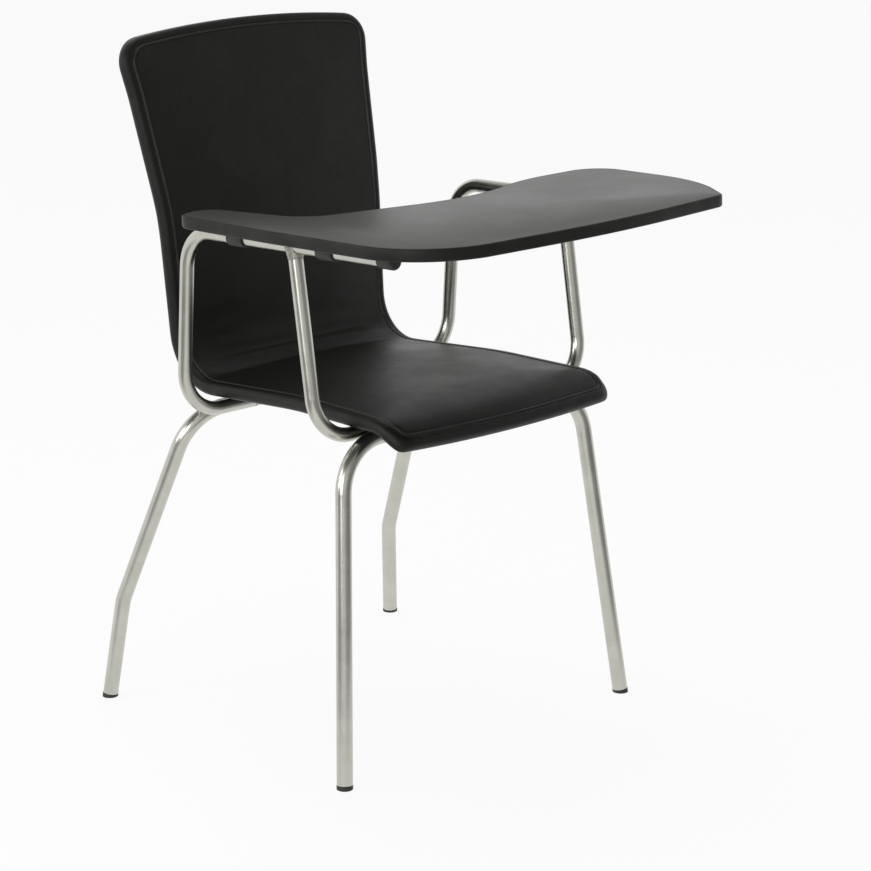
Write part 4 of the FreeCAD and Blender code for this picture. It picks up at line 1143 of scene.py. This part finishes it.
def make_weld_beads():
    """Beads with the uneven skin that a weld freezes with."""
    beads = merged_copy("weld_beads", "weld_runs")
    remesh = beads.modifiers.new("skin", "REMESH")
    remesh.mode = "VOXEL"
    remesh.voxel_size = WELD_GRAIN
    apply_all(beads)
    drop_crumbs(beads, CRUMB_POINTS)
    ripple = bpy.data.textures.new("weld_ripple", "CLOUDS")
    ripple.noise_scale = RIPPLE_SIZE
    uneven = beads.modifiers.new("uneven", "DISPLACE")
    uneven.texture = ripple
    uneven.texture_coords = "LOCAL"
    uneven.strength = RIPPLE_HEIGHT
    uneven.mid_level = RIPPLE_MIDDLE
    apply_all(beads)
    smooth(beads, 80.0)
    dress(beads, WELD, "weld_steel", "root", "weld_beads")


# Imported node, piece, width of its eased edges in millimetres, finish, slot and body
EASED = [
    ("glide_front_right", "foot_front_right", 0.5, PLASTIC, "black_plastic", "root"),
    ("glide_front_left", "foot_front_left", 0.5, PLASTIC, "black_plastic", "root"),
    ("glide_rear_right", "foot_rear_right", 0.5, PLASTIC, "black_plastic", "root"),
    ("glide_rear_left", "foot_rear_left", 0.5, PLASTIC, "black_plastic", "root"),
    ("arm_end_plugs", "arm_tube_plugs", 0.4, PLASTIC, "black_plastic", "root"),
    ("seat_bar_right", "bar_right", 0.6, BAR, "bar_steel", "root"),
    ("seat_bar_left", "bar_left", 0.6, BAR, "bar_steel", "root"),
    ("seat_spacers", "rubber_spacers", 0.5, RUBBER, "black_rubber", "root"),
    ("tablet_rear_clip", "rear_clip", 0.4, PLASTIC, "black_plastic", "tablet"),
    ("tablet_rear_pad", "rear_clip_pad", 0.4, PLASTIC, "black_plastic", "tablet"),
    ("tablet_front_clip", "front_clip", 0.4, PLASTIC, "black_plastic", "tablet"),
    ("tablet_front_pad", "front_clip_pad", 0.4, PLASTIC, "black_plastic", "tablet"),
    ("rest_block", "rail_end_rest", 0.6, PLASTIC, "black_plastic", "root"),
    ("support_plate", "rest_bracket", 0.5, BAR, "bar_steel", "root"),
    ("support_pad", "rest_buffer", 0.3, RUBBER, "black_rubber", "root"),
]
for node, name, width, material, slot, body in EASED:
    eased(node, name, width * MM, material, slot, body)

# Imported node, piece, eased edges, body, width of the heads and depth of their recess, in millimetres
SCREWS = [
    ("seat_screws", "shell_screws", 0.4, "root", 12.0, 1.8),
    ("tablet_rear_screws", "rear_clip_screws", 0.25, "tablet", 7.6, 1.3),
    ("tablet_front_screws", "front_clip_screws", 0.25, "tablet", 7.6, 1.3),
]
for node, name, width, body, head_width, recess_depth in SCREWS:
    recessed_screws(node, name, width * MM, body, head_width * MM, recess_depth * MM)
make_weld_beads()


# Studio: a white sweep under and behind the chair, a darker room in front, and soft lamps.
# Metal and gloss see the room and the floor's painted pool of light and glow; what shows directly is white
# all over.
FLOOR_RADIUS = 40.0
FLOOR_GLOW = 0.90
FLOOR_TONE = (0.86, 0.86, 0.855)
STUDIO_FRONT = (-0.692, -0.722, 0.0)
STUDIO_SIDE = (0.722, -0.692, 0.0)
SWEEP_FRONT = (-0.534, -0.846, 0.0)
CEILING = 0.12
ROOM_DARK = 0.36
WINDOW = 0.80
FLOOR_DARK = 0.28
FLOOR_FAR = 0.22
# Strengths of the painted pool of light in front and of the painted glow close round the chair, seen in
# gloss
POOL = 0.95
CLOSE_GLOW = 0.45
WORLD_DIFFUSE = 0.55
# Where each light fades from dark to full: metres on the floor, shares of the way in the room
SWEEP_FADE = (0.30, -0.20)
POOL_FADE = (1.00, 0.35)
CLOSE_GLOW_FADE = (0.75, 0.30)
FAR_FADE = (3.2, 1.8)
BACKDROP_FADE = (0.05, -0.40)
WINDOW_FADE = (0.66, 0.90)
CEILING_FADE = (0.82, 0.48)


def floor_white():
    """A white floor that keeps the shadow; in gloss it shows a painted pool of light in front of the chair
    and a painted glow close round it.
    """
    finish = Finish("floor_white", Roughness=1.0)
    aside = finish.node("Math", {0: finish.along(finish.place, STUDIO_SIDE)}, operation="ABSOLUTE")
    near = finish.node("VectorMath", {0: finish.place}, output="Value", operation="LENGTH")
    sweep = finish.between(finish.along(finish.place, SWEEP_FRONT), *SWEEP_FADE)
    # Painted light on the floor, seen only in gloss: a pool of light in front and a glow close round the
    # chair.
    pool = finish.between(aside, *POOL_FADE) * POOL
    close_glow = finish.between(near, *CLOSE_GLOW_FADE) * CLOSE_GLOW
    far = finish.between(near, *FAR_FADE) * (FLOOR_DARK - FLOOR_FAR) + FLOOR_FAR
    lit = finish.maths("MAXIMUM", finish.maths("MAXIMUM", sweep, pool), close_glow)
    shown = finish.maths("MAXIMUM", lit * (1 - far) + far, finish.ray("Camera"))
    plain = finish.node("BsdfDiffuse", {"Color": FLOOR_TONE})
    glow = finish.node("Emission", {"Color": finish.node("CombineColor", {0: shown, 1: shown, 2: shown})})
    mix = finish.node("MixShader", {0: finish.seen() * FLOOR_GLOW, 1: plain, 2: glow})
    finish.tree.nodes.remove(finish.shader)
    finish.tree.links.new(mix.socket, finish.tree.nodes["Material Output"].inputs["Surface"])
    return finish.material


def make_floor():
    bpy.ops.mesh.primitive_circle_add(vertices=96, radius=FLOOR_RADIUS, fill_type="NGON")
    floor = bpy.context.object
    floor.name = "studio_floor"
    floor.data.materials.append(floor_white())


def make_world():
    """A white backdrop behind the chair, a soft window by the camera, and a darker room round them."""
    world = bpy.data.worlds.new("studio")
    scene.world = world
    world.use_nodes = True
    room = Shading(world.node_tree)
    way = room.node("TexCoord", {}, output="Generated")
    behind = room.between(room.along(way, SWEEP_FRONT), *BACKDROP_FADE)
    backdrop = behind * (1 - ROOM_DARK) + ROOM_DARK
    facing = room.between(room.along(way, STUDIO_FRONT), *WINDOW_FADE)
    window = facing * (WINDOW - ROOM_DARK) + ROOM_DARK
    low = room.between(room.along(way, (0.0, 0.0, 1.0)), *CEILING_FADE)
    gloss = (room.maths("MAXIMUM", backdrop, window) - CEILING) * low + CEILING
    seen = room.seen()
    indirect = seen * gloss + (1 - seen) * WORLD_DIFFUSE
    strength = room.maths("MAXIMUM", indirect, room.ray("Camera"))
    room.feed(room.tree.nodes["Background"].inputs["Strength"], strength)
    room.feed(room.tree.nodes["Background"].inputs["Color"], (1.0, 1.0, 1.0))


# Name, place, diameter and watts of each lamp
LAMPS = [
    ("key", (-3.3, -0.9, 1.3), 1.9, 30.0),
    ("side", (-3.2, 1.4, 1.5), 1.8, 34.0),
    ("fill", (2.4, -2.8, 1.8), 1.6, 3.0),
    ("top", (0.2, 0.6, 3.2), 2.4, 30.0),
]
LAMP_AIM = Vector((0.0, 0.0, 0.45))


def make_lamps():
    for name, place, size, power in LAMPS:
        bpy.ops.object.light_add(type="AREA", location=place)
        lamp = bpy.context.object
        lamp.name = name
        lamp.data.shape = "DISK"
        lamp.data.size = size
        lamp.data.energy = power
        lamp.rotation_mode = "QUATERNION"
        lamp.rotation_quaternion = (LAMP_AIM - Vector(place)).to_track_quat("-Z", "Y")


make_floor()
make_world()
make_lamps()

scene.view_settings.view_transform = "Standard"
